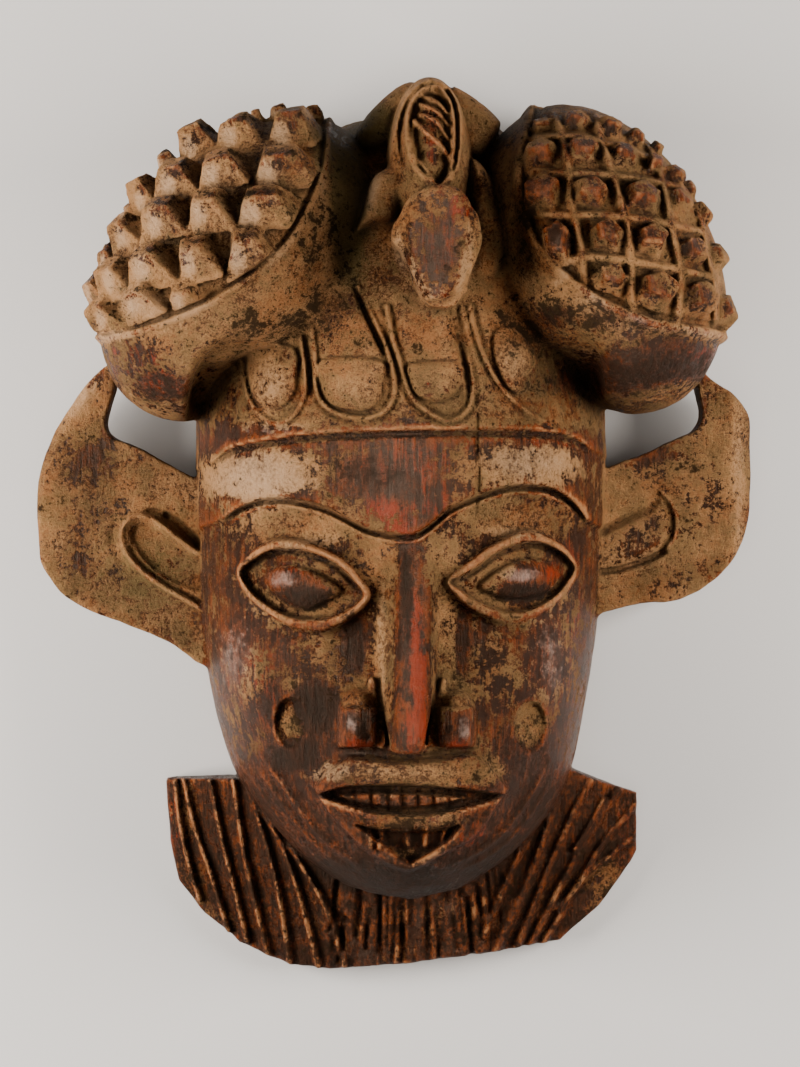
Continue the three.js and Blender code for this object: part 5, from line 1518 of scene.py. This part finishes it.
# Painted shade in the creases and in the shut-in hollows.
colour = blend(maths("MULTIPLY", ramp(total(crease, swing(fleck, 0.8)), 0.30, 0.95), 0.50), colour, SOOT_AND_SHADE_BLACK)
colour = blend(maths("MULTIPLY", ramp(shut, 0.35, 0.90), 0.42), colour, SOOT_AND_SHADE_BLACK)

# Bare wood is satin and stands in its grain; dust and soot are dull and crusted.
roughness = maths("ADD", total((speckle, 0.16), (dust_share, 0.38), (soot_and_shade_share, 0.34)), 0.18, clamp=True)
crust = total(swing(fleck, 2.2), swing(grit, 1.0), swing(speckle, 2.4), 0.5)
crust = maths("MULTIPLY", crust, maths("ADD", maths("MULTIPLY", dust_share, 0.8), 0.2))
grain_share = maths("SUBTRACT", 1.1, maths("MULTIPLY", dust_share, 0.75))
height = total(crust, maths("MULTIPLY", fibre, grain_share), (pores, 0.2), (dust_share, 0.25))
bump = node("ShaderNodeBump")
bump.inputs["Strength"].default_value = 1.0
bump.inputs["Distance"].default_value = BUMP_DEPTH
links.new(height, bump.inputs["Height"])
surface_of = node("ShaderNodeBsdfPrincipled")
links.new(colour, surface_of.inputs["Base Color"])
links.new(roughness, surface_of.inputs["Roughness"])
links.new(bump.outputs["Normal"], surface_of.inputs["Normal"])
surface_of.inputs["Specular IOR Level"].default_value = GLOSS
surface_of.inputs["Specular Tint"].default_value = GLOSS_TINT
links.new(surface_of.outputs["BSDF"], node("ShaderNodeOutputMaterial").inputs["Surface"])
thinned.materials.clear()
thinned.materials.append(wood)

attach(mask, "root")
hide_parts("mask")

# The floor. A plain pale board, wide enough to fill the view, on which the mask lies on its back. It is
# painted a matt light grey.
FLOOR_HALF = 3.0
FLOOR_LEVEL = -0.0006
FLOOR_GREY = (0.42, 0.42, 0.42, 1)
FLOOR_ROUGHNESS = 0.85
floor_mesh = bpy.data.meshes.new("floor")
floor_corners = [
    (side_x * FLOOR_HALF, side_y * FLOOR_HALF, FLOOR_LEVEL)
    for side_x, side_y in ((-1, -1), (1, -1), (1, 1), (-1, 1))
]
floor_mesh.from_pydata(floor_corners, [], [(0, 1, 2, 3)])
floor = bpy.data.objects.new("floor", floor_mesh)
bpy.context.scene.collection.objects.link(floor)
floor_paint = bpy.data.materials.new("pale_floor")
floor_paint.use_nodes = True
floor_coat = floor_paint.node_tree.nodes["Principled BSDF"]
floor_coat.inputs["Base Color"].default_value = FLOOR_GREY
floor_coat.inputs["Roughness"].default_value = FLOOR_ROUGHNESS
floor_mesh.materials.append(floor_paint)

# The light. Two large soft lamps stand low at the left and right so that they rake across the carving. A weak
# third lamp in front and a pale fill from all round open up the shadows.
LAMPS = [
    {"name": "left_lamp", "at": (-0.90, -0.03, 0.40), "size": 0.62, "watts": 47},
    {"name": "right_lamp", "at": (0.88, 0.06, 0.45), "size": 0.56, "watts": 33},
    {"name": "front_lamp", "at": (-0.10, -0.25, 1.20), "size": 0.80, "watts": 4.5},
]
LAMP_COLOUR = (1.0, 0.92, 0.84)
LAMP_AIM = (0, 0, 0.05)
FILL_COLOUR = (1, 0.985, 0.96, 1)
FILL_STRENGTH = 0.035
for lamp in LAMPS:
    light = bpy.data.lights.new(lamp["name"], "AREA")
    light.shape = "SQUARE"
    light.size = lamp["size"]
    light.energy = lamp["watts"]
    light.color = LAMP_COLOUR
    lit = bpy.data.objects.new(lamp["name"], light)
    lit.location = lamp["at"]
    lit.rotation_euler = (Vector(LAMP_AIM) - Vector(lamp["at"])).to_track_quat("-Z", "Y").to_euler()
    bpy.context.scene.collection.objects.link(lit)
world = bpy.data.worlds.new("studio")
world.use_nodes = True
world.node_tree.nodes["Background"].inputs["Color"].default_value = FILL_COLOUR
world.node_tree.nodes["Background"].inputs["Strength"].default_value = FILL_STRENGTH
bpy.context.scene.world = world

# The camera. It looks straight down on the mask from 1.45 m above the floor, as the photograph looks at it
# from straight in front, through a long lens.
CAMERA_AT = (0.003, 0.001, 1.453)
LENS = 100
SENSOR_HEIGHT = 36
camera_data = bpy.data.cameras.new("camera")
camera_data.lens = LENS
camera_data.sensor_fit = "VERTICAL"
camera_data.sensor_height = SENSOR_HEIGHT
camera = bpy.data.objects.new("camera", camera_data)
camera.location = CAMERA_AT
bpy.context.scene.collection.objects.link(camera)
bpy.context.scene.camera = camera
